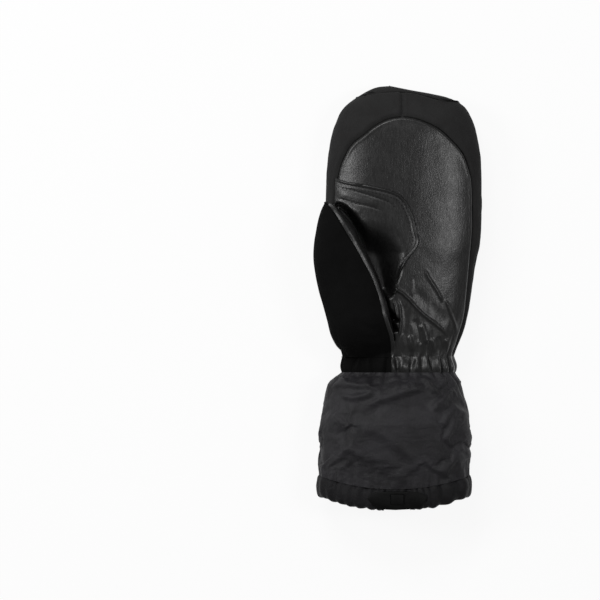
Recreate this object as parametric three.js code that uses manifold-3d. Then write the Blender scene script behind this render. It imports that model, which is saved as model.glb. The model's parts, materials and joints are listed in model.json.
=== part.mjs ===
// A padded ski mitten for the left hand with a long gauntlet, lying on its back with the palm up.
// Millimetres. X runs across the hand towards the little finger, Y towards the fingertips, and Z up
// out of the palm. The origin is on the face that the back of the hand rests on.
import * as THREE from "three";
import { mergeVertices } from "three/addons/utils/BufferGeometryUtils.js";
import Module from "manifold-3d";

const wasm = await Module();
wasm.setup();

// Cloth, leather and padding, from the outside in
const SEWN_GAP = 0.3;
const LEATHER = 1.2;
const SHELL_CLOTH = LEATHER;
const INSERT_FILM = 0.5;
const PALM_PADDING = 4;
const BACK_PADDING = 6;
const FLEECE = 1.6;
const PATCH_LEATHER = 1.1;

// The hand: from the gathered wrist to the fingertip
const HAND_WIDTH = 137;
const HAND_LENGTH = 238;
const WRIST_REACH = 111;
const SIDE_SEAM_HEIGHT = 20;
const PALM_CROWN = 29;
const FINGERTIP_ROUNDING = 46;
const BACK_TIP_ROUNDING = 60;
const PALM_ROUNDNESS = 2.4;
const BACK_ROUNDNESS = 3.2;
const BACK_FLAT_SHARE = 1.15;
const CENTRE_SEAM_OFFSET = -3.5;

// The hollow in the palm that the thumb lies in
const THUMB_SHELF_RISE = 8;
const HOLLOW_MARGIN = 9;
const HOLLOW_WALL = 25;
const HOLLOW_START = 17;

// The thumb
const THUMB_LENGTH = 131;
const THUMB_WIDTH = 54;
const THUMB_SEAM_RISE = 15;
const THUMB_CROWN = 23;
const THUMB_BASE_REACH = 22;
const THUMB_TIP_ROUNDING = 34;
const THUMB_BASE_ROUNDING = 24;
const THUMB_LEAN_DEGREES = 15;
const THUMB_PADDING = 3;
const THUMB_INWARD_DEGREES = 5;
const THUMB_OUTWARD_DEGREES = 30;
const THUMB_HOLE_WIDTH = 32;
const THUMB_HOLE_LENGTH = 44;
const THUMB_HOLE_OFFSET = 2;
const THUMB_HOLE_RISE = 9;

// The gathered wrist
const GATHER_LENGTH = 14;
const GATHER_DEPTH = 1.3;
const GATHER_COUNT = 26;
const ELASTIC_WIDTH = 8;
const ELASTIC_THICKNESS = 1.2;

// The gauntlet and its hem
const GAUNTLET_LENGTH = 91;
const GAUNTLET_WIDTH = 132;
const GAUNTLET_HEIGHT = 56;
const GAUNTLET_CENTRE = -8.8;
const GAUNTLET_FLOOR = 1.2;
const GAUNTLET_PADDING = 3;
const GAUNTLET_LINING = 1.2;
const HEM_LENGTH = 17.5;
const HEM_BULGE = 1.2;
const HEM_DROP = 11;
const TUBE_ROUNDNESS = 2.5;

// The drawcord and its lock
const CORD_DIAMETER = 2.2;
const CORD_CLEARANCE = 0.35;
const CORD_TO_HEM_EDGE = 7;
const LOCK_OFFSET = 2;
const LOCK_TAB_WIDTH = 52;
const LOCK_ROOF = 1;
const LOCK_END_WALL = 0.9;
const LOCK_SIDE_WALL = 4.2;
const BUTTON_WIDTH = 11;
const BUTTON_PROUD = 0.8;
const BUTTON_TRAVEL = 1.5;
const BUTTON_WALL = 0.8;
const FLANGE_REACH = 1;
const FLANGE_THICKNESS = 1;
const BRIDGE_THICKNESS = 0.9;
const SLIDING_CLEARANCE = 0.3;
const BACKPLATE_THICKNESS = 0.9;
const SPRING_DIAMETER = 3;
const SPRING_WIRE = 0.5;
const SPRING_TURNS = 5;

const CUT_OVERRUN = 20;
const LAYER_SHARPNESS = 2.5;
const PI = Math.PI;
const { lerp, clamp, smoothstep, degToRad } = THREE.MathUtils;

// Outlines seen from the palm side, as shares of half the width and of the length. Each runs from
// the wrist, or the thumb's base, to the tip; the x shares of a left side are counted leftwards.
const HAND_RIGHT_SHARES = [
  [0.66, 0], [0.7, 0.041], [0.769, 0.096], [0.846, 0.196], [0.91, 0.319], [0.981, 0.441],
  [1, 0.578], [0.994, 0.707], [0.949, 0.807], [0.865, 0.881], [0.763, 0.926], [0.59, 0.954],
  [0.385, 0.969], [0.077, 0.985], [-0.18, 1],
];
const HAND_LEFT_SHARES = [
  [0.8, 0], [0.833, 0.041], [0.897, 0.115], [0.962, 0.207], [1, 0.356], [1.006, 0.504],
  [0.994, 0.652], [0.962, 0.763], [0.885, 0.856], [0.769, 0.919], [0.564, 0.965],
  [0.359, 0.994], [0.18, 1],
];
const THUMB_RIGHT_SHARES = [
  [0, 0], [0.4, 0.01], [0.75, 0.055], [0.86, 0.148], [0.9, 0.237], [0.9, 0.341], [0.86, 0.451],
  [0.78, 0.578], [0.66, 0.69], [0.55, 0.785], [0.4, 0.875], [0.21, 0.95], [-0.02, 1],
];
const THUMB_LEFT_SHARES = [
  [0, 0], [0.42, 0.012], [0.79, 0.06], [0.95, 0.145], [1.06, 0.256], [1.09, 0.383],
  [1.06, 0.535], [0.97, 0.684], [0.74, 0.81], [0.47, 0.915], [0.22, 0.98], [0.02, 1],
];
const PALM_LEATHER_SHARES = [
  [0.635, -0.03], [0.635, 0], [0.692, 0.059], [0.776, 0.141], [0.82, 0.245], [0.85, 0.34],
  [0.865, 0.45], [0.865, 0.53], [0.859, 0.596], [0.833, 0.659], [0.788, 0.707], [0.731, 0.744],
  [0.654, 0.778], [0.551, 0.807], [0.436, 0.837], [0.27, 0.863], [0.103, 0.88], [-0.05, 0.885],
  [-0.18, 0.881], [-0.32, 0.867], [-0.449, 0.844], [-0.564, 0.819], [-0.667, 0.794],
  [-0.744, 0.769], [-0.808, 0.737], [-0.853, 0.7], [-0.885, 0.659], [-0.904, 0.596],
  [-0.91, 0.504], [-0.9, 0.38], [-0.84, 0.3], [-0.7, 0.26], [-0.5, 0.2], [-0.3, 0.12],
  [-0.21, 0.06], [-0.18, 0], [-0.18, -0.03],
];
const PALM_PATCH_SHARES = [
  [-0.866, 0.652], [-0.782, 0.644], [-0.654, 0.635], [-0.513, 0.628], [-0.372, 0.62],
  [-0.244, 0.611], [-0.141, 0.598], [-0.064, 0.578], [0, 0.556], [0.051, 0.526], [0.09, 0.493],
  [0.128, 0.452], [0.158, 0.419], [0.115, 0.396], [0.026, 0.367], [-0.038, 0.337],
  [-0.09, 0.304], [-0.128, 0.267], [-0.17, 0.207], [-0.2, 0.14], [-0.3, 0.15],
  [-0.5, 0.225], [-0.7, 0.285], [-0.82, 0.34], [-0.866, 0.467],
];
// The seam between the thumb's cloth back and its leather, from the base to the tip.
const THUMB_SEAM_SHARES = [
  [0.62, -0.1], [0.66, 0.1], [0.72, 0.2], [0.7, 0.341], [0.64, 0.451], [0.56, 0.578],
  [0.46, 0.69], [0.36, 0.785], [0.22, 0.875], [0.1, 0.95], [-0.06, 1.1],
];
// The wrist is lower than the palm: the crown's share along the hand.
const CROWN_SHARES = [[0, 0.82], [0.15, 0.93], [0.35, 1], [1, 1]];
// Where the thumb turns, seen from the palm side.
const THUMB_PIVOT_SHARE = [-0.562, 0.126];
// How far the gauntlet has gone from the wrist's width, centre and height to its own, from the
// wrist seam to the hem.
const WIDTH_FLARE_SHARES = [[0, 0], [0.09, 0.38], [0.3, 0.71], [0.6, 0.98], [1, 1]];
const CENTRE_SHIFT_SHARES = [[0, 0], [0.12, 0.9], [1, 1]];
const HEIGHT_FLARE_SHARES = [[0, 0], [0.12, 0.44], [0.45, 1], [1, 0.86]];

const ROW_SHARES = [0, 0.05, 0.09, 0.16, 0.26, 0.36, 0.46, 0.56, 0.67, 0.77, 0.85, 0.91, 0.955, 0.985, 1];
const THUMB_ROW_SHARES = [0, 0.06, 0.16, 0.3, 0.46, 0.62, 0.77, 0.89, 0.965, 1];
const HAND_COLUMNS = 12;
const THUMB_COLUMNS = 8;
const TUBE_COLUMNS = 28;
const GAUNTLET_ROWS = 5;
const HEM_ROWS = 2;
const LOCK_SECTORS = 3;
const CORD_STEPS = 48;
const OUTLINE_STEPS = 48;
const HOLE_STEPS = 20;
const POCKET_SIDES = 12;
const SPRING_STEPS = 8;
const CORD_SIDES = 8;

const handHalf = HAND_WIDTH / 2;
const thumbHalf = THUMB_WIDTH / 2;
const wristY = -WRIST_REACH;
const gauntletY = wristY - GATHER_LENGTH;
const hemCornerY = gauntletY - GAUNTLET_LENGTH - HEM_LENGTH;
const thumbShelfHeight = SIDE_SEAM_HEIGHT + THUMB_SHELF_RISE;
const thumbRestHeight = thumbShelfHeight + PATCH_LEATHER + 2 * SEWN_GAP;
const thumbPivot = new THREE.Vector2(
  THUMB_PIVOT_SHARE[0] * handHalf,
  wristY + THUMB_PIVOT_SHARE[1] * HAND_LENGTH,
);
const insertDepth = SHELL_CLOTH + SEWN_GAP;
const paddingDepth = insertDepth + INSERT_FILM + SEWN_GAP;
const palmLiningDepth = paddingDepth + PALM_PADDING + SEWN_GAP;
const backLiningDepth = paddingDepth + BACK_PADDING + SEWN_GAP;
const thumbLiningDepth = paddingDepth + THUMB_PADDING + SEWN_GAP;

// Reads a table of [share, value] pairs with straight lines between them.
function readShares(table, share) {
  const after = table.findIndex(([at]) => at >= share);
  if (after <= 0) return table[Math.max(after, 0)][1];
  const [from, low] = table[after - 1];
  const [to, high] = table[after];
  return lerp(low, high, (share - from) / (to - from));
}

function sideCurve(shares, half, length, way) {
  const points = shares.map(([x, y]) => new THREE.Vector3(way * x * half, y * length, 0));
  return new THREE.CatmullRomCurve3(points, false, "centripetal");
}

// A pillow form is a closed outline with a crowned top and a flatter base that meet at its side
// seam. Row share k runs along it and column share f across it, from -1 at the left to 1.
const handForm = {
  left: sideCurve(HAND_LEFT_SHARES, handHalf, HAND_LENGTH, -1),
  right: sideCurve(HAND_RIGHT_SHARES, handHalf, HAND_LENGTH, 1),
  half: handHalf,
  length: HAND_LENGTH,
  anchor: 0,
  startY: wristY,
  seamHeight: SIDE_SEAM_HEIGHT,
  floor: 0,
  crown: PALM_CROWN,
  crownShares: CROWN_SHARES,
  topRounding: FINGERTIP_ROUNDING,
  baseRounding: BACK_TIP_ROUNDING,
  startRounding: 0,
  rows: ROW_SHARES,
  columns: HAND_COLUMNS,
  hollowed: true,
};
const thumbForm = {
  left: sideCurve(THUMB_LEFT_SHARES, thumbHalf, THUMB_LENGTH, -1),
  right: sideCurve(THUMB_RIGHT_SHARES, thumbHalf, THUMB_LENGTH, 1),
  half: thumbHalf,
  length: THUMB_LENGTH,
  anchor: THUMB_LENGTH / 2,
  startY: -THUMB_BASE_REACH,
  seamHeight: THUMB_SEAM_RISE,
  floor: 0,
  crown: THUMB_CROWN,
  crownShares: [[0, 1], [1, 1]],
  topRounding: THUMB_TIP_ROUNDING,
  baseRounding: THUMB_TIP_ROUNDING,
  startRounding: THUMB_BASE_ROUNDING,
  rows: THUMB_ROW_SHARES,
  columns: THUMB_COLUMNS,
  hollowed: false,
};

// Where the thumb lies, seen from the palm side, at rest and pressed fully inwards.
function thumbOutline(degrees) {
  const turn = degToRad(THUMB_LEAN_DEGREES - degrees);
  const steps = thumbForm.rows.length * 2;
  const place = (p) =>
    new THREE.Vector2(p.x, p.y + thumbForm.startY)
      .rotateAround(new THREE.Vector2(), turn)
      .add(thumbPivot);
  const right = thumbForm.right.getSpacedPoints(steps).map(place);
  const left = thumbForm.left.getSpacedPoints(steps).map(place);
  return [...right, ...left.reverse()];
}
const thumbTurns = [THUMB_INWARD_DEGREES, 0, -THUMB_OUTWARD_DEGREES / 2, -THUMB_OUTWARD_DEGREES];
const thumbPlaces = thumbTurns.map(thumbOutline);

// Distance from a point to an outline, negative inside it.
function outlineDistance(outline, point) {
  let nearest = Infinity;
  let inside = false;
  outline.forEach((a, i) => {
    const b = outline[(i + 1) % outline.length];
    const along = b.clone().sub(a);
    const share = clamp(point.clone().sub(a).dot(along) / Math.max(along.lengthSq(), 1e-9), 0, 1);
    nearest = Math.min(nearest, point.distanceTo(a.clone().addScaledVector(along, share)));
    const crosses = a.y > point.y !== b.y > point.y;
    if (crosses && point.x < a.x + ((point.y - a.y) * along.x) / along.y) inside = !inside;
  });
  return inside ? -nearest : nearest;
}

// The rise above the side seam, pressed down to the thumb's shelf where the thumb lies.
function hollowedRise(x, y, rise) {
  const point = new THREE.Vector2(x, y);
  const away = Math.min(...thumbPlaces.map((outline) => outlineDistance(outline, point)));
  const pressed = rise / (1 + (rise / THUMB_SHELF_RISE) ** 4) ** 0.25;
  return lerp(pressed, rise, smoothstep(away, HOLLOW_MARGIN, HOLLOW_MARGIN + HOLLOW_WALL));
}

function domeShare(distance, rounding) {
  if (rounding === 0) return 1;
  return Math.sqrt(1 - (1 - clamp(distance / rounding, 0, 1)) ** 2);
}

function planPoint(form, k, f, depth) {
  const left = form.left.getPointAt(k);
  const right = form.right.getPointAt(k);
  const across = (f + 1) / 2;
  const reach = form.length - form.anchor;
  const x = (lerp(left.x, right.x, across) * (form.half - depth)) / form.half;
  const outer = lerp(left.y, right.y, across);
  const y = form.anchor + ((outer - form.anchor) * (reach - depth)) / reach;
  return { x, y: y + form.startY, outerY: outer };
}

function topPoint(form, k, f, depth, lift = 0) {
  const { x, y } = planPoint(form, k, f, depth);
  const outer = planPoint(form, k, f, 0);
  const fromTip = form.length - outer.outerY;
  const across = (1 - Math.abs(f) ** PALM_ROUNDNESS) ** (1 / PALM_ROUNDNESS);
  const share =
    across *
    domeShare(fromTip, form.topRounding) *
    domeShare(outer.outerY, form.startRounding);
  let rise = form.crown * readShares(form.crownShares, k) * share;
  if (form.hollowed) {
    const flat = smoothstep(outer.outerY, 0, HOLLOW_START);
    rise = lerp(rise, hollowedRise(outer.x, outer.y, rise), flat);
  }
  const sunk = 1 - (1 - share) ** LAYER_SHARPNESS;
  return new THREE.Vector3(x, y, form.seamHeight + rise + lift * (1 - sunk) - depth * sunk);
}

function basePoint(form, k, f, depth, lift = 0) {
  const { x, y } = planPoint(form, k, f, depth);
  const outer = planPoint(form, k, f, 0);
  const fromTip = form.length - outer.outerY;
  const across = (1 - Math.abs(f) ** BACK_ROUNDNESS) ** (1 / BACK_ROUNDNESS);
  const share = Math.min(
    1,
    BACK_FLAT_SHARE *
      across *
      domeShare(fromTip, form.baseRounding) *
      domeShare(outer.outerY, form.startRounding),
  );
  const drop = (form.seamHeight - form.floor - depth) * share;
  return new THREE.Vector3(x, y, form.seamHeight - lift * (1 - share) - drop);
}

// Turns rows of points into a closed mesh: an outer skin, an inner skin and walls between them.
// Points that fall together, as at a tip, are merged and the faces that vanish there dropped.
function closedSkin(outer, inner, wraps) {
  const positions = [];
  const faces = [];
  const rows = outer.length;
  const columns = outer[0].length;
  const at = (skin, i, j) => skin * rows * columns + i * columns + (j % columns);
  for (const p of [...outer.flat(), ...inner.flat()]) positions.push(p.x, p.y, p.z);
  const quad = (a, b, c, d) => faces.push(a, b, c, a, c, d);
  const across = wraps ? columns : columns - 1;
  for (let i = 0; i < rows - 1; i++) {
    for (let j = 0; j < across; j++) {
      quad(at(0, i, j), at(0, i, j + 1), at(0, i + 1, j + 1), at(0, i + 1, j));
      quad(at(1, i, j), at(1, i + 1, j), at(1, i + 1, j + 1), at(1, i, j + 1));
    }
  }
  for (let j = 0; j < across; j++) {
    quad(at(1, 0, j), at(1, 0, j + 1), at(0, 0, j + 1), at(0, 0, j));
    const last = rows - 1;
    quad(at(0, last, j), at(0, last, j + 1), at(1, last, j + 1), at(1, last, j));
  }
  for (let i = 0; i < rows - 1 && !wraps; i++) {
    const last = columns - 1;
    quad(at(0, i, 0), at(0, i + 1, 0), at(1, i + 1, 0), at(1, i, 0));
    quad(at(1, i, last), at(1, i + 1, last), at(0, i + 1, last), at(0, i, last));
  }
  const geometry = new THREE.BufferGeometry();
  geometry.setAttribute("position", new THREE.Float32BufferAttribute(positions, 3));
  geometry.setIndex(faces);
  return geometry;
}

function solid(geometry) {
  const bare = geometry.clone();
  bare.deleteAttribute("normal");
  bare.deleteAttribute("uv");
  const merged = mergeVertices(bare, 1e-3);
  const index = merged.index.array;
  const kept = [];
  for (let i = 0; i < index.length; i += 3) {
    const [a, b, c] = [index[i], index[i + 1], index[i + 2]];
    if (a !== b && b !== c && c !== a) kept.push(a, b, c);
  }
  const made = new wasm.Manifold(
    new wasm.Mesh({
      numProp: 3,
      vertProperties: merged.attributes.position.array,
      triVerts: new Uint32Array(kept),
    }),
  );
  return made.volume() < 0 ? turnedOut(merged, kept) : made;
}

// The same solid with its faces turned round, for a skin whose rows ran the other way.
function turnedOut(merged, kept) {
  const turned = [];
  for (let i = 0; i < kept.length; i += 3) turned.push(kept[i], kept[i + 2], kept[i + 1]);
  return new wasm.Manifold(
    new wasm.Mesh({
      numProp: 3,
      vertProperties: merged.attributes.position.array,
      triVerts: new Uint32Array(turned),
    }),
  );
}

function pillowGrid(form, depth, point, lift) {
  const grid = form.rows.map((k) => {
    const row = [];
    for (let j = 0; j <= form.columns; j++) {
      row.push(point(form, k, -Math.cos((PI * j) / form.columns), depth, lift));
    }
    return point === basePoint ? row.reverse() : row;
  });
  return grid;
}

// One panel of a pillow form, from one depth below the outer face to a deeper one.
function pillowPanel(form, outerDepth, innerDepth, point) {
  const outer = pillowGrid(form, outerDepth, point, SEWN_GAP / 2);
  const inner = pillowGrid(form, innerDepth, point, SEWN_GAP / 2);
  return solid(closedSkin(outer, inner, false));
}

// A whole bag: the top and the base in one skin, open only at the wrist.
function pillowBag(form, outerDepth, innerDepth) {
  const rings = (depth) => {
    const top = pillowGrid(form, depth, topPoint, 0);
    const base = pillowGrid(form, depth, basePoint, 0);
    return top.map((row, i) => [...row, ...base[i].slice(1, -1)]);
  };
  return solid(closedSkin(rings(outerDepth), rings(innerDepth), true));
}

// A ring of a padded tube with a flattened underside, at a row share and a depth.
function tubeRing(tube, k, depth, from, to, columns) {
  const ring = [];
  for (let j = 0; j <= columns; j++) {
    ring.push(tubePoint(tube, k, lerp(from, to, j / columns), depth));
  }
  return ring;
}

function squareRound(value) {
  return Math.sign(value) * Math.abs(value) ** (2 / TUBE_ROUNDNESS);
}

function tubePoint(tube, k, angle, depth) {
  const half = tube.half(k) - depth + tube.wave(k, angle);
  const rise = tube.rise(k) - depth + tube.wave(k, angle);
  const x = tube.centre(k) + half * squareRound(Math.cos(angle));
  const z = tube.middle(k) + rise * squareRound(Math.sin(angle));
  return new THREE.Vector3(x, tube.y(k, squareRound(Math.cos(angle))), Math.max(z, tube.floor + depth));
}

function tubePanel(tube, outerDepth, innerDepth, from, to, columns, rows) {
  const shares = Array.from({ length: rows + 1 }, (_, i) => i / rows);
  const skin = (depth) => shares.map((k) => tubeRing(tube, k, depth, from, to, columns));
  return solid(closedSkin(skin(outerDepth), skin(innerDepth), false));
}

function tubeSleeve(tube, outerDepth, innerDepth, columns, rows) {
  const shares = Array.from({ length: rows + 1 }, (_, i) => i / rows);
  const skin = (depth) =>
    shares.map((k) => tubeRing(tube, k, depth, 0, 2 * PI, columns).slice(0, -1));
  return solid(closedSkin(skin(outerDepth), skin(innerDepth), true));
}

// An upright prism over a closed smooth outline of plan points.
function prism(points, low, high) {
  const shape = new THREE.Shape(points);
  const geometry = new THREE.ExtrudeGeometry(shape, { depth: high - low, bevelEnabled: false });
  return solid(geometry.translate(0, 0, low));
}

function smoothOutline(shares, half, length, startY) {
  const points = shares.map(([x, y]) => new THREE.Vector3(x * half, startY + y * length, 0));
  const curve = new THREE.CatmullRomCurve3(points, true, "centripetal");
  return curve.getSpacedPoints(OUTLINE_STEPS).slice(0, -1).map((p) => new THREE.Vector2(p.x, p.y));
}

// The outline moved outwards, or inwards for a negative distance.
function grown(outline, distance) {
  const area = THREE.ShapeUtils.area(outline);
  return outline.map((p, i) => {
    const before = outline[(i + outline.length - 1) % outline.length];
    const after = outline[(i + 1) % outline.length];
    const along = after.clone().sub(before).normalize();
    const outwards = new THREE.Vector2(along.y, -along.x).multiplyScalar(Math.sign(area));
    return p.clone().addScaledVector(outwards, distance);
  });
}

function block(width, length, height, x, y, z) {
  return solid(new THREE.BoxGeometry(width, length, height).translate(x, y, z));
}

const mitten = new THREE.Group();

function material(colour, roughness, metalness = 0) {
  return new THREE.MeshStandardMaterial({ color: colour, roughness, metalness });
}
const palmHide = material(0x2b2a2b, 0.42);
const patchHide = material(0x232223, 0.4);
const softshell = material(0x1f1e20, 0.85);
const thumbCloth = material(0x121113, 0.95);
const gauntletNylon = material(0x2a282b, 0.6);
const fleeceCloth = material(0x1b1b1d, 1);
const padding = material(0xd8d6d0, 1);
const film = material(0x9aa0a4, 0.5);
const elastic = material(0xdad8d2, 0.8);
const mouldedRubber = material(0x141414, 0.5);
const springWire = material(0xb9bcc0, 0.3, 1);

function addPiece(parent, name, made, finish) {
  const { vertProperties, triVerts } = made.getMesh();
  const geometry = new THREE.BufferGeometry();
  geometry.setAttribute("position", new THREE.BufferAttribute(new Float32Array(vertProperties), 3));
  geometry.setIndex(new THREE.BufferAttribute(new Uint32Array(triVerts), 1));
  geometry.computeVertexNormals();
  const mesh = new THREE.Mesh(geometry, finish);
  mesh.name = name;
  parent.add(mesh);
  return mesh;
}

// The hole that lets the thumb in, cut alike through the palm's layers and the thumb's underside.
function thumbHole(low, high) {
  const points = [];
  for (let i = 0; i < HOLE_STEPS; i++) {
    const angle = (2 * PI * i) / HOLE_STEPS;
    points.push(
      new THREE.Vector2(
        THUMB_HOLE_OFFSET + (Math.cos(angle) * THUMB_HOLE_WIDTH) / 2,
        THUMB_HOLE_RISE + (Math.sin(angle) * THUMB_HOLE_LENGTH) / 2,
      ),
    );
  }
  return { points, cut: (place) => prism(points.map(place), low, high) };
}

function onPalm(point) {
  return point
    .clone()
    .rotateAround(new THREE.Vector2(), degToRad(THUMB_LEAN_DEGREES))
    .add(thumbPivot);
}
const palmHole = thumbHole(SIDE_SEAM_HEIGHT - LEATHER, thumbShelfHeight + CUT_OVERRUN).cut(onPalm);

function addHand() {
  const high = SIDE_SEAM_HEIGHT + PALM_CROWN + CUT_OVERRUN;
  const leatherOutline = smoothOutline(PALM_LEATHER_SHARES, handHalf, HAND_LENGTH, wristY);
  const upperShell = pillowPanel(handForm, 0, LEATHER, topPoint).subtract(palmHole);
  const inSeam = prism(grown(leatherOutline, -SEWN_GAP / 2), 0, high);
  const overSeam = prism(grown(leatherOutline, SEWN_GAP / 2), 0, high);
  addPiece(mitten, "palm_leather", upperShell.intersect(inSeam), palmHide);

  const centreSeam = block(SEWN_GAP, HAND_LENGTH, high, CENTRE_SEAM_OFFSET, HAND_LENGTH / 2, high / 2);
  const gussets = upperShell.subtract(overSeam).subtract(centreSeam).decompose();
  for (const gusset of gussets) {
    const bounds = gusset.boundingBox();
    const onThumbSide = bounds.min[0] + bounds.max[0] < 0;
    const name = onThumbSide ? "thumb_side_gusset" : "little_finger_side_gusset";
    addPiece(mitten, name, gusset, softshell);
  }

  const patchOutline = smoothOutline(PALM_PATCH_SHARES, handHalf, HAND_LENGTH, wristY);
  const patchLayer = pillowPanel(handForm, -SEWN_GAP - PATCH_LEATHER, -SEWN_GAP, topPoint);
  const patch = patchLayer.intersect(prism(patchOutline, 0, high)).subtract(palmHole);
  addPiece(mitten, "palm_patch", patch, patchHide);

  addPiece(mitten, "back_shell", pillowPanel(handForm, 0, SHELL_CLOTH, basePoint), softshell);
  const insert = pillowBag(handForm, insertDepth, insertDepth + INSERT_FILM).subtract(palmHole);
  addPiece(mitten, "waterproof_insert", insert, film);
  const palmPadding = pillowPanel(handForm, paddingDepth, paddingDepth + PALM_PADDING, topPoint);
  addPiece(mitten, "palm_insulation", palmPadding.subtract(palmHole), padding);
  const backPadding = pillowPanel(handForm, paddingDepth, paddingDepth + BACK_PADDING, basePoint);
  addPiece(mitten, "back_insulation", backPadding, padding);
  const palmLining = pillowPanel(handForm, palmLiningDepth, palmLiningDepth + FLEECE, topPoint);
  addPiece(mitten, "palm_lining", palmLining.subtract(palmHole), fleeceCloth);
  const backLining = pillowPanel(handForm, backLiningDepth, backLiningDepth + FLEECE, basePoint);
  addPiece(mitten, "back_lining", backLining, fleeceCloth);
}

function addThumb() {
  const thumb = new THREE.Group();
  thumb.position.set(thumbPivot.x, thumbPivot.y, thumbRestHeight);
  thumb.rotation.z = degToRad(THUMB_LEAN_DEGREES);
  mitten.add(thumb);
  const high = THUMB_SEAM_RISE + THUMB_CROWN;
  const hole = thumbHole(-CUT_OVERRUN, THUMB_SEAM_RISE).cut((p) => p);
  const bag = (outer, inner) => pillowBag(thumbForm, outer, inner).subtract(hole);

  const shell = bag(0, LEATHER);
  const seam = THUMB_SEAM_SHARES.map(
    ([x, y]) => new THREE.Vector2(x * thumbHalf, y * THUMB_LENGTH - THUMB_BASE_REACH),
  );
  const farLeft = -THUMB_WIDTH;
  const clothSide = [
    ...seam,
    new THREE.Vector2(farLeft, seam.at(-1).y),
    new THREE.Vector2(farLeft, seam[0].y),
  ];
  const clothRegion = prism(clothSide, THUMB_SEAM_RISE, high + CUT_OVERRUN);
  const clothBeyond = prism(grown(clothSide, SEWN_GAP), THUMB_SEAM_RISE - SEWN_GAP, high + CUT_OVERRUN);
  addPiece(thumb, "thumb_back_cloth", shell.intersect(clothRegion), thumbCloth);
  addPiece(thumb, "thumb_front_leather", shell.subtract(clothBeyond), patchHide);
  addPiece(thumb, "thumb_waterproof_insert", bag(insertDepth, insertDepth + INSERT_FILM), film);
  addPiece(thumb, "thumb_insulation", bag(paddingDepth, paddingDepth + THUMB_PADDING), padding);
  addPiece(thumb, "thumb_lining", bag(thumbLiningDepth, thumbLiningDepth + FLEECE), fleeceCloth);
}

// The wrist edge of the hand, which the gathers and the gauntlet start from.
const wristLeft = handForm.left.getPointAt(0).x;
const wristRight = handForm.right.getPointAt(0).x;
const wristHalf = (wristRight - wristLeft) / 2;
const wristCentre = (wristRight + wristLeft) / 2;
const wristHeight = SIDE_SEAM_HEIGHT + PALM_CROWN * readShares(CROWN_SHARES, 0);

const wristTube = {
  half: () => wristHalf,
  rise: () => wristHeight / 2,
  centre: () => wristCentre,
  middle: () => wristHeight / 2,
  floor: 0,
  wave: () => 0,
  y: (k) => wristY - SEWN_GAP - k * (GATHER_LENGTH - 2 * SEWN_GAP),
};

function addWrist() {
  const gatherTube = {
    ...wristTube,
    wave: (k, angle) => (GATHER_DEPTH / 2) * (Math.cos(GATHER_COUNT * angle) - 1),
  };
  const seam = SEWN_GAP / wristHalf / 2;
  const gathers = (from, to) => tubePanel(gatherTube, 0, SHELL_CLOTH, from, to, 2 * GATHER_COUNT, 1);
  addPiece(mitten, "wrist_gather_palm", gathers(seam, PI - seam), palmHide);
  addPiece(mitten, "wrist_gather_back", gathers(PI + seam, 2 * PI - seam), softshell);
  const elasticDepth = GATHER_DEPTH + SHELL_CLOTH + SEWN_GAP;
  const inset = (GATHER_LENGTH - ELASTIC_WIDTH) / 2;
  const elasticTube = { ...wristTube, y: (k) => wristY - inset - k * ELASTIC_WIDTH };
  const band = tubeSleeve(elasticTube, elasticDepth, elasticDepth + ELASTIC_THICKNESS, TUBE_COLUMNS, 1);
  addPiece(mitten, "wrist_elastic", band, elastic);
  const liningDepth = elasticDepth + ELASTIC_THICKNESS + SEWN_GAP;
  const sleeve = tubeSleeve(wristTube, liningDepth, liningDepth + FLEECE, TUBE_COLUMNS, 1);
  addPiece(mitten, "wrist_lining", sleeve, fleeceCloth);
}

function hemEdgeY(across) {
  return hemCornerY - HEM_DROP * (1 - across * across);
}

function gauntletHeight(k) {
  return lerp(wristHeight, GAUNTLET_HEIGHT, readShares(HEIGHT_FLARE_SHARES, k));
}

const gauntletTube = {
  half: (k) => lerp(wristHalf, GAUNTLET_WIDTH / 2, readShares(WIDTH_FLARE_SHARES, k)),
  rise: (k) => gauntletHeight(k) / 2,
  centre: (k) => lerp(wristCentre, GAUNTLET_CENTRE, readShares(CENTRE_SHIFT_SHARES, k)),
  middle: (k) => gauntletHeight(k) / 2,
  floor: GAUNTLET_FLOOR,
  wave: () => 0,
  y: (k, across) => lerp(gauntletY, hemEdgeY(across) + HEM_LENGTH + SEWN_GAP, k),
};
const hemTube = {
  half: (k) => gauntletTube.half(1) + HEM_BULGE * Math.sin(PI * k),
  rise: (k) => gauntletTube.rise(1) + HEM_BULGE * Math.sin(PI * k),
  centre: () => GAUNTLET_CENTRE,
  middle: () => gauntletTube.middle(1),
  floor: 0,
  wave: () => 0,
  y: (k, across) => hemEdgeY(across) + HEM_LENGTH * (1 - k),
};
const hemThickness = SHELL_CLOTH + GAUNTLET_PADDING + GAUNTLET_LINING + 2 * SEWN_GAP;
const cordShare = 1 - CORD_TO_HEM_EDGE / HEM_LENGTH;
const cordDepth = hemThickness / 2;
const hemTop = hemTube.middle(cordShare) + hemTube.rise(cordShare);
const cordHeight = hemTop - cordDepth;

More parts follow.
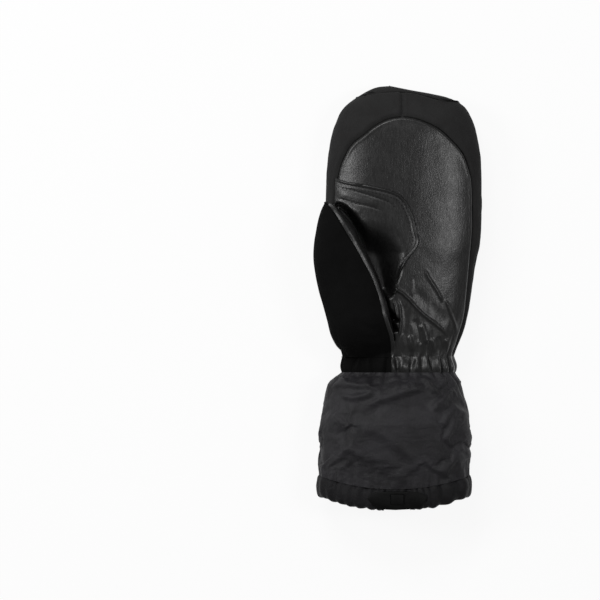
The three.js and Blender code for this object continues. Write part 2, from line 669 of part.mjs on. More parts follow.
// The lock's sizes, worked out from the cord that passes through its button.
const slotHalf = CORD_DIAMETER / 2 + CORD_CLEARANCE;
const slotTop = cordHeight + slotHalf + BUTTON_TRAVEL;
const slotFloor = cordHeight - slotHalf;
const flangeTop = slotTop + FLANGE_THICKNESS;
const roofTop = flangeTop + SLIDING_CLEARANCE + LOCK_ROOF;
const buttonFloor = slotFloor - BRIDGE_THICKNESS;
const backplateTop = buttonFloor - BUTTON_TRAVEL - SLIDING_CLEARANCE;
const lockFloor = backplateTop - BACKPLATE_THICKNESS;
const lockX = GAUNTLET_CENTRE + LOCK_OFFSET;
const lockEdgeY = hemEdgeY(LOCK_OFFSET / (GAUNTLET_WIDTH / 2));
const cordY = lockEdgeY + CORD_TO_HEM_EDGE;
const pocketRadius = SPRING_DIAMETER / 2 + SLIDING_CLEARANCE;
const springY = cordY + slotHalf + BUTTON_WALL + pocketRadius;
const stemFromY = cordY - slotHalf - BUTTON_WALL;
const stemToY = springY + pocketRadius + BUTTON_WALL;
const flangeWidth = BUTTON_WIDTH + 2 * FLANGE_REACH;
const flangeLength = stemToY - stemFromY + 2 * FLANGE_REACH;
const buttonY = (stemFromY + stemToY) / 2;
const lockLength = stemToY + FLANGE_REACH + SLIDING_CLEARANCE + LOCK_END_WALL - lockEdgeY;
const lockWidth = flangeWidth + 2 * (SLIDING_CLEARANCE + LOCK_SIDE_WALL);

// The drawcord runs once round the hem, a set distance inside its lower edge.
function cordRoute(steps) {
  const points = [];
  for (let i = 0; i < steps; i++) {
    points.push(tubePoint(hemTube, cordShare, PI / 2 + (2 * PI * i) / steps, 0));
  }
  const curve = new THREE.CatmullRomCurve3(points, true, "centripetal");
  const middle = new THREE.Vector3(GAUNTLET_CENTRE, 0, gauntletTube.middle(1));
  const inner = curve.getSpacedPoints(steps).slice(0, -1).map((p, i) => {
    const along = curve.getTangentAt(i / steps);
    const inwards = new THREE.Vector3(-along.z, 0, along.x).normalize();
    const towards = middle.clone().sub(p).setY(0);
    if (inwards.dot(towards) < 0) inwards.negate();
    return p.clone().addScaledVector(inwards, cordDepth);
  });
  return new THREE.CatmullRomCurve3(inner, true, "centripetal");
}

function closedCord(route, radius, steps, sides) {
  const rings = [];
  for (let i = 0; i < steps; i++) {
    const centre = route.getPointAt(i / steps);
    const along = route.getTangentAt(i / steps);
    const side = new THREE.Vector3(0, 1, 0).cross(along).normalize();
    const up = along.clone().cross(side);
    const ring = [];
    for (let j = 0; j < sides; j++) {
      const angle = (2 * PI * (j + 0.5)) / sides;
      ring.push(
        centre
          .clone()
          .addScaledVector(side, radius * Math.cos(angle))
          .addScaledVector(up, radius * Math.sin(angle)),
      );
    }
    rings.push(ring);
  }
  const positions = rings.flat().flatMap((p) => [p.x, p.y, p.z]);
  const faces = [];
  const at = (i, j) => (i % steps) * sides + (j % sides);
  for (let i = 0; i < steps; i++) {
    for (let j = 0; j < sides; j++) {
      faces.push(at(i, j), at(i, j + 1), at(i + 1, j + 1));
      faces.push(at(i, j), at(i + 1, j + 1), at(i + 1, j));
    }
  }
  const geometry = new THREE.BufferGeometry();
  geometry.setAttribute("position", new THREE.Float32BufferAttribute(positions, 3));
  geometry.setIndex(faces);
  return solid(geometry);
}

function addGauntlet() {
  const half = TUBE_COLUMNS / 2;
  const side = SEWN_GAP / GAUNTLET_WIDTH;
  const shell = (from, to) => tubePanel(gauntletTube, 0, SHELL_CLOTH, from, to, half, GAUNTLET_ROWS);
  addPiece(mitten, "gauntlet_palm_shell", shell(side, PI - side), gauntletNylon);
  addPiece(mitten, "gauntlet_back_shell", shell(PI + side, 2 * PI - side), gauntletNylon);
  const paddingFrom = SHELL_CLOTH + SEWN_GAP;
  const liningFrom = paddingFrom + GAUNTLET_PADDING + SEWN_GAP;
  const sleeve = (from, to) => tubeSleeve(gauntletTube, from, to, TUBE_COLUMNS, GAUNTLET_ROWS);
  addPiece(mitten, "gauntlet_insulation", sleeve(paddingFrom, paddingFrom + GAUNTLET_PADDING), padding);
  addPiece(mitten, "gauntlet_lining", sleeve(liningFrom, liningFrom + GAUNTLET_LINING), gauntletNylon);

  const route = cordRoute(CORD_STEPS);
  const cord = closedCord(route, CORD_DIAMETER / 2, CORD_STEPS, CORD_SIDES);
  const channel = closedCord(route, CORD_DIAMETER / 2 + CORD_CLEARANCE, CORD_STEPS, CORD_SIDES);
  const windowLength = lockLength + SEWN_GAP + CUT_OVERRUN;
  const window = block(
    lockWidth + 2 * SEWN_GAP,
    windowLength,
    hemThickness + CUT_OVERRUN,
    lockX,
    lockEdgeY + windowLength / 2 - CUT_OVERRUN,
    hemTop,
  );
  const hem = tubeSleeve(hemTube, 0, hemThickness, TUBE_COLUMNS, HEM_ROWS).subtract(channel).subtract(window);
  addPiece(mitten, "hem_band", hem, gauntletNylon);
  addPiece(mitten, "hem_drawcord", cord, elastic);
  addLock(channel);
}

const LOCK_TAB_SHARES = [
  [1, 0.62], [0.94, 0.85], [0.7, 1], [-0.7, 1], [-0.94, 0.85], [-1, 0.62], [-0.74, 0.12],
  [-0.55, 0], [0.55, 0], [0.74, 0.12],
];

function lockTabOutline() {
  return LOCK_TAB_SHARES.map(
    ([x, y]) => new THREE.Vector2(lockX + (x * LOCK_TAB_WIDTH) / 2, lockEdgeY + y * lockLength),
  );
}

function uprightBlock(width, length, x, y, low, high) {
  return block(width, length, high - low, x, y, (high + low) / 2);
}

function addLock(channel) {
  const tabOutside = hemTop - roofTop;
  const sector = (LOCK_SECTORS * 2 * PI) / TUBE_COLUMNS;
  const layer = (outer, inner) =>
    tubePanel(hemTube, outer, inner, PI / 2 - sector, PI / 2 + sector, 2 * LOCK_SECTORS, HEM_ROWS);
  const highest = hemTop + CUT_OVERRUN;
  const tab = layer(tabOutside, -SEWN_GAP).intersect(prism(lockTabOutline(), 0, highest));
  const bodyY = lockEdgeY + lockLength / 2;
  const body = layer(tabOutside, hemThickness + CUT_OVERRUN).intersect(
    uprightBlock(lockWidth, lockLength, lockX, bodyY, lockFloor, highest),
  );
  const room = 2 * SLIDING_CLEARANCE;
  const stemLength = stemToY - stemFromY;
  const well = uprightBlock(
    flangeWidth + room, flangeLength + room, lockX, buttonY,
    lockFloor - CUT_OVERRUN, flangeTop + SLIDING_CLEARANCE,
  );
  const buttonHole = uprightBlock(
    BUTTON_WIDTH + room, stemLength + room, lockX, buttonY, slotTop, highest,
  );
  const housing = body.add(tab).subtract(well).subtract(buttonHole).subtract(channel);
  addPiece(mitten, "lock_housing", housing, mouldedRubber);
  const plate = uprightBlock(flangeWidth, flangeLength, lockX, buttonY, lockFloor, backplateTop);
  addPiece(mitten, "lock_backplate", plate, mouldedRubber);

  const flange = uprightBlock(flangeWidth, flangeLength, lockX, buttonY, slotTop, flangeTop);
  const stem = uprightBlock(
    BUTTON_WIDTH, stemLength, lockX, buttonY, buttonFloor, roofTop + BUTTON_PROUD,
  );
  const slot = uprightBlock(
    BUTTON_WIDTH + CUT_OVERRUN, 2 * slotHalf, lockX, cordY, slotFloor, slotTop,
  );
  const pocketHeight = slotTop - buttonFloor + CUT_OVERRUN;
  const pocket = solid(
    new THREE.CylinderGeometry(pocketRadius, pocketRadius, pocketHeight, POCKET_SIDES)
      .rotateX(PI / 2)
      .translate(lockX, springY, slotTop - pocketHeight / 2),
  );
  const button = stem.add(flange).subtract(slot).subtract(pocket);
  addPiece(mitten, "lock_button", button, mouldedRubber);
  addPiece(mitten, "lock_spring", springCoil(backplateTop, slotTop), springWire);
}

// A compression spring, one unbroken wire that climbs from the backplate into the button.
function springCoil(low, high) {
  const radius = (SPRING_DIAMETER - SPRING_WIRE) / 2;
  const steps = SPRING_TURNS * SPRING_STEPS;
  const from = low + SEWN_GAP + SPRING_WIRE / 2;
  const to = high - SEWN_GAP - SPRING_WIRE / 2;
  const points = [];
  for (let i = 0; i <= steps; i++) {
    const angle = (2 * PI * i) / SPRING_STEPS;
    const x = lockX + radius * Math.cos(angle);
    const y = springY + radius * Math.sin(angle);
    points.push(new THREE.Vector3(x, y, lerp(from, to, i / steps)));
  }
  const section = new THREE.Shape();
  section.absarc(0, 0, SPRING_WIRE / 2, 0, 2 * PI);
  const geometry = new THREE.ExtrudeGeometry(section, {
    steps,
    curveSegments: 3,
    bevelEnabled: false,
    extrudePath: new THREE.CatmullRomCurve3(points),
  });
  return solid(geometry);
}

addHand();
addThumb();
addWrist();
addGauntlet();

export default mitten;
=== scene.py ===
import json
import math

import bpy
import numpy as np
from mathutils import Matrix, Vector, noise
from mathutils.bvhtree import BVHTree

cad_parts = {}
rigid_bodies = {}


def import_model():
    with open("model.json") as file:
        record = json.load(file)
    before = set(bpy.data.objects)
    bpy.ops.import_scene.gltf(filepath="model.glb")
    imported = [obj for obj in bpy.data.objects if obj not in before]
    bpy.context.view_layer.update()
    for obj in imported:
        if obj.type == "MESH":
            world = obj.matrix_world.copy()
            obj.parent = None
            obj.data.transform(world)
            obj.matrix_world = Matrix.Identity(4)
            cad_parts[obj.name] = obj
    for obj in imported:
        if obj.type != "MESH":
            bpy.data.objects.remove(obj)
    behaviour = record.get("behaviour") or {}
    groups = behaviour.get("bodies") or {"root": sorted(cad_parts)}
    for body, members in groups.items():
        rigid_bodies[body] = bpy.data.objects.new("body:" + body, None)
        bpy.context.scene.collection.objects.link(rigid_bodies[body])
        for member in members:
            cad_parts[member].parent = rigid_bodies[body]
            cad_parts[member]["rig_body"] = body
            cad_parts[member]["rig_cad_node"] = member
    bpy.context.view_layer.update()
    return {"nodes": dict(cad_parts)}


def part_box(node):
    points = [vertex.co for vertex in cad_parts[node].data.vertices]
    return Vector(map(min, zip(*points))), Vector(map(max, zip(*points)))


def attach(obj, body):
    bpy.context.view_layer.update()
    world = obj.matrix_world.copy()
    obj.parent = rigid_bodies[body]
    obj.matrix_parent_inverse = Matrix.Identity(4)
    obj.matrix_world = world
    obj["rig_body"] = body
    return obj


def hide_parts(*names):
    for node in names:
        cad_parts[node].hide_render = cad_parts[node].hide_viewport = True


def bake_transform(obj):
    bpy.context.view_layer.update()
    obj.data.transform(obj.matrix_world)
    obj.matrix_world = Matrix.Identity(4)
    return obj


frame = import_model()

# Metres from here on, in the frame of the CAD part.
MM = 0.001

# The plan of the mitten, seen from straight above the palm, is drawn in units of 0.88 mm from the
# upper left of a square sheet. PLAN_ORIGIN is where the part's own origin is on that sheet.
PLAN_UNIT = 0.88 * MM
PLAN_ORIGIN = (404, 230)
SHEET = 600

SEWN_GAP = 0.3 * MM
LEATHER = 1.2 * MM
CLOTH = 0.9 * MM
FILM = 0.5 * MM
FLEECE = 1.6 * MM
GAUNTLET_LINING = 1.2 * MM
PATCH_LEATHER = 1.1 * MM

HAND_HALF = 68.5 * MM
HAND_LENGTH = 238 * MM
WRIST_Y = -111 * MM
SIDE_SEAM = 20 * MM
PALM_CROWN = 29 * MM
TIP_ROUNDING = 46 * MM
BACK_TIP_ROUNDING = 60 * MM
PALM_ROUNDNESS = 2.4
BACK_ROUNDNESS = 3.2
BACK_FLAT = 1.15
LAYER_SHARPNESS = 2.5
CROWN_SHARES = [[0, 0.82], [0.15, 0.93], [0.35, 1], [1, 1]]

SHELF_RISE = 8 * MM
HOLLOW_START = 17 * MM

THUMB_PIVOT = np.array([-38.497, -81.012]) * MM
THUMB_LEAN = math.radians(15)
THUMB_REST = 29.7 * MM
THUMB_SEAM_RISE = 15 * MM
THUMB_CROWN = 23 * MM
THUMB_REACH = 109 * MM
THUMB_TIP_ROUNDING = 34 * MM
THUMB_HALF = 24 * MM
THUMB_SEAM_HEIGHT = THUMB_REST + THUMB_SEAM_RISE
# Where the hidden layers of the thumb end at its root, and how that end is rounded.
THUMB_LAYER_ROOT = -8 * MM
THUMB_LAYER_ROUNDING = 26 * MM
THUMB_HOLE = (32 * MM, 44 * MM)
THUMB_HOLE_PLACE = (2 * MM, 9 * MM)

GATHER_LENGTH = 14 * MM
GAUNTLET_Y = WRIST_Y - GATHER_LENGTH
GAUNTLET_LENGTH = 91 * MM
HEM_LENGTH = 17.5 * MM
HEM_CORNER_Y = GAUNTLET_Y - GAUNTLET_LENGTH - HEM_LENGTH
HEM_DROP = 11 * MM
HEM_BULGE = 1.2 * MM
HEM_THICKNESS = 6 * MM
GAUNTLET_HALF = 66 * MM
GAUNTLET_HEIGHT = 56 * MM
GAUNTLET_CENTRE = -8.8 * MM
GAUNTLET_FLOOR = 1.2 * MM
TUBE_ROUNDNESS = 2.5
WIDTH_FLARE = [[0, 0], [0.09, 0.38], [0.3, 0.71], [0.6, 0.98], [1, 1]]
CENTRE_SHIFT = [[0, 0], [0.12, 0.9], [1, 1]]
HEIGHT_FLARE = [[0, 0], [0.12, 0.44], [0.45, 1], [1, 0.86]]
CORD_DIAMETER = 2.2 * MM
CORD_TO_EDGE = 7 * MM
MOUTH_HEIGHT = 24 * MM

# Outlines of the hand as shares of half its width and of its length, from the wrist to the tip.
HAND_RIGHT = [
    [0.66, 0], [0.7, 0.041], [0.769, 0.096], [0.846, 0.196], [0.91, 0.319], [0.981, 0.441],
    [1, 0.578], [0.994, 0.707], [0.949, 0.807], [0.865, 0.881], [0.763, 0.926], [0.59, 0.954],
    [0.385, 0.969], [0.077, 0.985], [-0.18, 1],
]
HAND_LEFT = [
    [-0.8, 0], [-0.833, 0.041], [-0.897, 0.115], [-0.962, 0.207], [-1, 0.356], [-1.006, 0.504],
    [-0.994, 0.652], [-0.962, 0.763], [-0.885, 0.856], [-0.769, 0.919], [-0.564, 0.965],
    [-0.359, 0.994], [-0.18, 1],
]
# The thumb's outline on the plan sheet, from the wrist to its tip.
THUMB_LEFT = [
    (341.5, 357), (341, 352), (336, 345), (331, 335), (327, 320), (323, 305), (320, 295),
    (316, 278), (313.4, 258), (314, 245), (316, 232), (319, 218), (322.4, 208), (326, 203.6),
]
THUMB_RIGHT = [
    (392.5, 357), (393.5, 345), (392.5, 332), (389.5, 316), (385, 300), (381.5, 288),
    (376.5, 274), (369, 257), (361, 242), (355, 230), (347, 218.5), (339.5, 210.5),
    (333.4, 205.6), (326, 203.6),
]
# The seam between the thumb's cloth and its leather.
THUMB_SEAM = [
    (390, 359), (390.8, 346), (390, 337), (386.7, 326.7), (383, 314), (380.4, 301),
    (376.5, 288.4), (371.4, 275.7), (363.8, 261.6), (355, 246), (346, 232), (338, 218),
    (330, 206.4), (325, 200),
]
# The palm leather's sides, from the wrist up, and its top edge.
LEATHER_LEFT = [
    (390, 356.2), (387.7, 339.9), (380.6, 323.7), (365, 302), (349.5, 285.8), (338.6, 270),
    (334.2, 250), (333.4, 225), (334, 200), (335.5, 190), (336.5, 178), (339, 167), (343, 157),
    (348, 148), (354, 141),
]
LEATHER_TOP = [
    (354, 141), (362, 135.5), (371, 128), (381, 122), (392, 118), (402, 117), (414, 118.5),
    (427, 123), (440, 130), (448, 137), (457, 146),
]
LEATHER_RIGHT = [
    (453.4, 356.2), (457.9, 340), (464.4, 318), (467.8, 290), (470.2, 264), (473, 232),
    (473, 200), (472, 180), (470, 172), (467, 162), (463, 153.5), (457, 146),
]


def on_plan(points):
    """Places in metres of points given on the plan sheet."""
    points = np.asarray(points, float)
    return np.stack(
        [(points[:, 0] - PLAN_ORIGIN[0]) * PLAN_UNIT, (PLAN_ORIGIN[1] - points[:, 1]) * PLAN_UNIT], 1
    )


def evenly(path, count):
    """Points the same distance apart along a path."""
    steps = np.linalg.norm(np.diff(path, axis=0), axis=1)
    run = np.concatenate([[0], np.cumsum(steps)])
    at = np.linspace(0, run[-1], count)
    return np.stack([np.interp(at, run, path[:, i]) for i in range(path.shape[1])], 1)


def smooth_curve(points, count=1201):
    """A smooth curve through the points, evenly spaced."""
    p = np.asarray(points, float)
    around = np.vstack([2 * p[0] - p[1], p, 2 * p[-1] - p[-2]])
    share = np.linspace(0, 1, 41)[:-1, None]
    runs = []
    for a, b, c, d in zip(around, around[1:], around[2:], around[3:]):
        before, within, after = (
            max(np.linalg.norm(end - start) ** 0.5, 1e-9) for start, end in ((a, b), (b, c), (c, d))
        )
        leave = ((b - a) / before - (c - a) / (before + within) + (c - b) / within) * within
        arrive = ((c - b) / within - (d - b) / (within + after) + (d - c) / after) * within
        runs.append(
            b + leave * share
            + (3 * (c - b) - 2 * leave - arrive) * share**2
            + (2 * (b - c) + leave + arrive) * share**3
        )
    return evenly(np.vstack(runs + [p[-1:]]), count)


def read_shares(table, share):
    at, value = zip(*table)
    return np.interp(share, at, value)


def smoothstep(value, low, high):
    share = np.clip((value - low) / (high - low), 0, 1)
    return share * share * (3 - 2 * share)


def mix(a, b, share):
    return a + (b - a) * share


def dome(distance, rounding):
    """The height share of a rounded end, a distance in from it."""
    return np.sqrt(1 - (1 - np.clip(distance / rounding, 0, 1)) ** 2)


def arch(f, roundness):
    """The height share across a padded form, from one edge at -1 to the other at 1."""
    return (1 - np.abs(np.clip(f, -1, 1)) ** roundness) ** (1 / roundness)


class Plan:
    """A form's left and right outlines; k runs along them and f from one across to the other."""

    def __init__(self, left, right):
        self.left, self.right = left, right
        self.shares = np.linspace(0, 1, len(left))

    def side(self, curve, k):
        return np.stack([np.interp(k, self.shares, curve[:, i]) for i in (0, 1)], -1)

    def place(self, k, f):
        across = (np.asarray(f)[..., None] + 1) / 2
        return mix(self.side(self.left, k), self.side(self.right, k), across)

    def locate(self, points):
        """The k and f of points, found by halving the range of k."""
        low, high = np.zeros(len(points)), np.full(len(points), 0.9999)
        for _ in range(26):
            k = (low + high) / 2
            left, right = self.side(self.left, k), self.side(self.right, k)
            chord, offset = right - left, points - left
            above = chord[:, 0] * offset[:, 1] - chord[:, 1] * offset[:, 0] > 0
            low, high = np.where(above, k, low), np.where(above, high, k)
        left, right = self.side(self.left, k), self.side(self.right, k)
        chord, offset = right - left, points - left
        length = np.maximum((chord**2).sum(1), 1e-12)
        return k, np.clip(2 * (chord * offset).sum(1) / length - 1, -1, 1)


def hand_side(shares):
    points = np.array(shares) * [HAND_HALF, HAND_LENGTH] + [0, WRIST_Y]
    return smooth_curve(points)


hand_plan = Plan(hand_side(HAND_LEFT), hand_side(HAND_RIGHT))
thumb_plan = Plan(smooth_curve(on_plan(THUMB_LEFT)), smooth_curve(on_plan(THUMB_RIGHT)))


def thumb_own(points):
    """Points in the thumb's own upright frame, about its pivot."""
    offset = points - THUMB_PIVOT
    sine, cosine = math.sin(THUMB_LEAN), math.cos(THUMB_LEAN)
    x, y = offset[..., 0], offset[..., 1]
    return np.stack([x * cosine + y * sine, y * cosine - x * sine], -1)


def turned_thumb(degrees):
    """The thumb's outline when it has swung outwards by some degrees."""
    outline = np.vstack([thumb_plan.right[120::40], thumb_plan.left[120::40][::-1]]) - THUMB_PIVOT
    sine, cosine = math.sin(math.radians(degrees)), math.cos(math.radians(degrees))
    turn = np.array([[cosine, sine], [-sine, cosine]])
    return outline @ turn + THUMB_PIVOT


def outline_distance(outline, points):
    """Distance of points from an outline, negative inside it."""
    nearest = np.full(len(points), np.inf)
    inside = np.zeros(len(points), bool)
    for a, b in zip(outline, np.roll(outline, -1, axis=0)):
        along = b - a
        share = np.clip(((points - a) @ along) / max(along @ along, 1e-12), 0, 1)
        nearest = np.minimum(nearest, np.linalg.norm(points - a - share[:, None] * along, axis=1))
        crosses = (a[1] > points[:, 1]) != (b[1] > points[:, 1])
        if along[1]:
            inside ^= crosses & (points[:, 0] < a[0] + (points[:, 1] - a[1]) * along[0] / along[1])
    return np.where(inside, -nearest, nearest)


thumb_places = [turned_thumb(degrees) for degrees in (-5, 0, 15, 30)]
thumb_footprint = np.vstack([thumb_plan.right[::30], thumb_plan.left[::30][::-1]])


def line_distance(line, points):
    """Distance of points from an open line, with its sign, and how far along the line they are."""
    steps = np.linalg.norm(np.diff(line, axis=0), axis=1)
    run = np.concatenate([[0], np.cumsum(steps)])
    nearest = np.full(len(points), np.inf)
    signed, share = np.zeros(len(points)), np.zeros(len(points))
    for a, b, start, length in zip(line, line[1:], run, steps):
        along = (b - a) / max(length, 1e-9)
        offset = points - a
        at = np.clip(offset @ along, 0, length)
        away = np.linalg.norm(offset - at[:, None] * along, axis=1)
        nearer = away < nearest
        side = np.sign(along[0] * offset[:, 1] - along[1] * offset[:, 0])
        nearest = np.where(nearer, away, nearest)
        signed = np.where(nearer, away * side, signed)
        share = np.where(nearer, (start + at) / run[-1], share)
    return signed, share


def soft_noise(points, size, seed, octaves=2):
    """Smooth random values from -1 to 1 over points, with bumps of about the given size."""
    offset = Vector((seed * 17.3, seed * 5.1, seed * 9.7))
    return np.array(
        [noise.fractal(Vector(p) / size + offset, 1.0, 2.0, octaves) for p in points.tolist()]
    )


def flat3(points, height=0.0):
    return np.column_stack([points, np.full(len(points), height)])


# Folds in the palm: the line on the plan sheet, its height and half width in mm, and its lean,
# which lifts the side that is to the left of the line's way.
PALM_FOLDS = [
    ([(386, 281.5), (393.1, 288.1), (400.9, 292.8), (408, 299.1), (417.5, 309.3), (425.3, 316.4),
      (434.7, 323.5), (441.8, 329.7), (449, 337.5)], 1.5, 1.15, 0),
    ([(412, 290), (421, 298), (431, 308), (440, 317), (448, 326)], -0.6, 4.6, 0),
    ([(424, 268), (427, 276), (432, 284), (437.1, 292), (442, 303)], 1.3, 1.2, 0),
    ([(444, 299), (447.3, 305), (450.5, 314), (454.4, 323.5), (457, 332)], 1.3, 1.2, 0),
    ([(411.6, 278), (411.7, 288), (411.2, 297)], 0.45, 1.0, 0),
    ([(392.6, 300), (394.6, 308), (395.8, 319), (394, 326)], 0.9, 0.9, 0),
    ([(397.4, 298), (399.2, 308), (400.2, 319), (399.4, 329), (397.8, 339)], 1.1, 1.0, 0),
    ([(403, 303), (404, 314), (404, 326), (402, 338)], -0.6, 2.2, 0),
    ([(421, 323), (424, 333), (427, 344)], 1.7, 2.6, 0),
    ([(413, 318), (417, 330), (419, 345)], -0.9, 2.4, 0),
    ([(408.5, 334), (410.5, 344), (411.5, 352)], 1.4, 1.8, 0),
    ([(431.5, 338), (433, 346), (433.6, 353)], 1.2, 1.6, 0),
    ([(437, 336), (440, 345), (441, 353)], -0.8, 2.0, 0),
    ([(446, 338), (447.5, 346), (448, 353)], 1.0, 1.6, 0),
]


def folds(table, points):
    """The lift of a table of folds at plan places."""
    lift = np.zeros(len(points))
    for line, height, width, lean in table:
        signed, share = line_distance(smooth_curve(on_plan(line), 40), points)
        across = signed / (width * MM)
        fade = smoothstep(share, 0, 0.18) * smoothstep(1 - share, 0, 0.18)
        shape = height * np.exp(-(across**2)) + lean * np.tanh(across) * np.exp(-((across / 3) ** 2))
        lift += shape * fade * MM
    return lift


WRIST_HALF = 50.005 * MM
WRIST_CENTRE = -4.795 * MM
WRIST_HEIGHT = SIDE_SEAM + PALM_CROWN * CROWN_SHARES[0][1]
PLEAT_PEAKS = [345, 356.5, 368, 380, 391.5, 403.7, 415.5, 427.3, 437.9, 446.1, 453]
PLEAT_STEP = 10.5 * MM
# The height of the pleats, how sharp they are, and how far the cloth stands out along the wrist.
PLEAT_HEIGHTS = [
    (-165, 0), (-148, 0.4), (-136, 1.0), (-130, 1.7), (-125, 2.4), (-119, 3.2), (-115, 2.8),
    (-112, 1.9), (-108, 1.1), (-102, 0.6), (-95, 0.3), (-82, 0),
]
PLEAT_SHARPNESS = [(-140, 1.0), (-126, 0.8), (-120, 1.2), (-114, 2.0), (-110, 1.2), (-100, 0.9)]
WRIST_SWELLS = [
    (-150, 0), (-138, 0.8), (-131, 0.5), (-126.5, -1.2), (-124, 0.0), (-120, 0.7), (-116, 0.0),
    (-112, -1.3), (-106, -0.9), (-100, 0), (-96, 0),
]


def smooth_table(table, value):
    """A table's value with its corners rounded over about 2 mm."""
    at, known = (np.array(column, float) for column in zip(*table))
    run = np.arange(at[0] - 12, at[-1] + 12, 0.5)
    bell = np.exp(-((np.arange(-12, 13) / 4) ** 2))
    smooth = np.convolve(np.interp(run, at, known), bell / bell.sum(), mode="same")
    smooth[:14], smooth[-14:] = known[0], known[-1]
    return np.interp(value, run, smooth)


def square_round(value):
    return np.sign(value) * np.abs(value) ** (2 / TUBE_ROUNDNESS)


def ring_angle(x, z):
    """The angle round the wrist's ring at a place on it."""
    across = np.clip((x - WRIST_CENTRE) / WRIST_HALF, -1, 1)
    up = np.clip(2 * z / WRIST_HEIGHT - 1, -1, 1)
    power = TUBE_ROUNDNESS / 2
    return np.arctan2(np.sign(up) * np.abs(up) ** power, np.sign(across) * np.abs(across) ** power)


def ring_table():
    """Angles from under the ring round to under it again, and the count of pleats up to each."""
    angles = np.linspace(-np.pi / 2, 3 * np.pi / 2, 1441)
    x = WRIST_CENTRE + WRIST_HALF * square_round(np.cos(angles))
    z = WRIST_HEIGHT / 2 * (1 + square_round(np.sin(angles)))
    run = np.concatenate([[0], np.cumsum(np.hypot(np.diff(x), np.diff(z)))])
    top = (angles > 0) & (angles < np.pi)
    peaks_x = (np.array(PLEAT_PEAKS[::-1]) - PLAN_ORIGIN[0]) * PLAN_UNIT
    peaks = np.interp(-peaks_x, -x[top], run[top])
    before = np.linspace(0, peaks[0], round(peaks[0] / PLEAT_STEP) + 1)[:-1]
    after = np.linspace(peaks[-1], run[-1], round((run[-1] - peaks[-1]) / PLEAT_STEP) + 1)[1:]
    places = np.concatenate([before, peaks, after])
    return angles, np.interp(run, places, np.arange(len(places)))


RING_ANGLES, RING_PLEATS = ring_table()


def calm(y):
    """How free the cloth is to fold: not at all on the wrist's seams, and fully away from them."""
    return smoothstep(y - WRIST_Y, 0, 10 * MM) + smoothstep(GAUNTLET_Y - y, 0, 7 * MM)


def gathered(points):
    """Draws points near the wrist into its pleats."""
    x, y, z = points[..., 0], points[..., 1], points[..., 2]
    angle = ring_angle(x, z)
    angle = np.where(angle < -np.pi / 2, angle + 2 * np.pi, angle)
    phase = np.interp(angle, RING_ANGLES, RING_PLEATS)
    slant = 0.2 * np.sin(phase * 2.4) * np.clip((y - GAUNTLET_Y) / GATHER_LENGTH, -1, 2)
    crest = np.abs(np.cos(np.pi * (phase + slant))) ** smooth_table(PLEAT_SHARPNESS, y / MM)
    uneven = 1 + 0.35 * np.sin(phase * 5.1 + 1.0)
    height = smooth_table(PLEAT_HEIGHTS, y / MM) * MM * uneven
    swell = smooth_table(WRIST_SWELLS, y / MM) * MM
    across, up = square_round(np.cos(angle)), square_round(np.sin(angle))
    way = np.stack([
        np.sign(across) * np.abs(across) ** (TUBE_ROUNDNESS - 1) / WRIST_HALF, np.zeros_like(x),
        np.sign(up) * np.abs(up) ** (TUBE_ROUNDNESS - 1) / (WRIST_HEIGHT / 2),
    ], -1)
    way = way / np.linalg.norm(way, axis=-1, keepdims=True)
    return points + way * ((crest - 0.62) * height + swell)[..., None]


# How wide the wall of the hollow is, in mm, by its place along the hand.
HOLLOW_WALLS = [(-82, 5), (-64, 5), (-52, 9), (-40, 18), (-20, 28), (10, 32), (30, 32)]


def hollowed(points, rise, outer_y):
    """The rise above the side seam, pressed down to the shelf that the thumb lies on."""
    away = np.min([outline_distance(place, points) for place in thumb_places], axis=0)
    wall = read_shares(HOLLOW_WALLS, points[:, 1] / MM) * MM
    pressed = rise / (1 + (rise / SHELF_RISE) ** 4) ** 0.25
    wide = mix(pressed, rise, smoothstep(away, 0.5 * MM, 0.5 * MM + wall))
    lip = THUMB_SEAM_RISE * smoothstep(away, -5 * MM, 1 * MM)
    underside = THUMB_REST - SIDE_SEAM - 1.0 * MM + lip
    near_root = smoothstep(-points[:, 1], 50 * MM, 62 * MM)
    underside = underside + mix(1.3, 2.6, near_root) * np.clip(away, 0, None)
    soft = 1.2 * MM
    close = -soft * np.logaddexp(-rise / soft, -underside / soft)
    close = np.clip(close, 0, rise)
    near_tip = smoothstep(points[:, 1], -24 * MM, 8 * MM)
    sunk = mix(wide, close, near_tip + near_root)
    return mix(rise, sunk, smoothstep(outer_y, 0, HOLLOW_START))


def palm_relief(points):
    """The palm's folds and slow unevenness, alike for every layer."""
    uneven = soft_noise(flat3(points), 30 * MM, 1) * 0.5 + soft_noise(flat3(points), 9 * MM, 2) * 0.1
    heel = smoothstep(-points[:, 1], 48 * MM, 70 * MM)
    drawn = flat3(points) * [1, 0.3, 1]
    from_thumb = outline_distance(thumb_footprint, points)
    beside = smoothstep(from_thumb, 4 * MM, 12 * MM)
    puckers = soft_noise(drawn, 6 * MM, 5) * 0.4 * heel * beside
    reach = thumb_footprint - np.outer(thumb_footprint[:, 1] < WRIST_Y + 10 * MM, [0, 14 * MM])
    under = np.clip(-outline_distance(reach, points) / (4 * MM), 0, 1)
    creases = folds(PALM_FOLDS, points) * smoothstep(from_thumb, 2 * MM, 6 * MM)
    lift = creases + (uneven + puckers) * MM
    depth = mix(-1.9, -3.6, smoothstep(WRIST_Y + 34 * MM - points[:, 1], 0, 12 * MM)) * MM
    return mix(lift * calm(points[:, 1]), depth, smoothstep(under, 0.1, 1.0))


def drawn_in(outer, depth):
    """The hand's plan places as they are for a layer at a depth."""
    x = outer[:, 0] * (HAND_HALF - depth) / HAND_HALF
    y = WRIST_Y + (outer[:, 1] - WRIST_Y) * (HAND_LENGTH - depth) / HAND_LENGTH
    return x, y


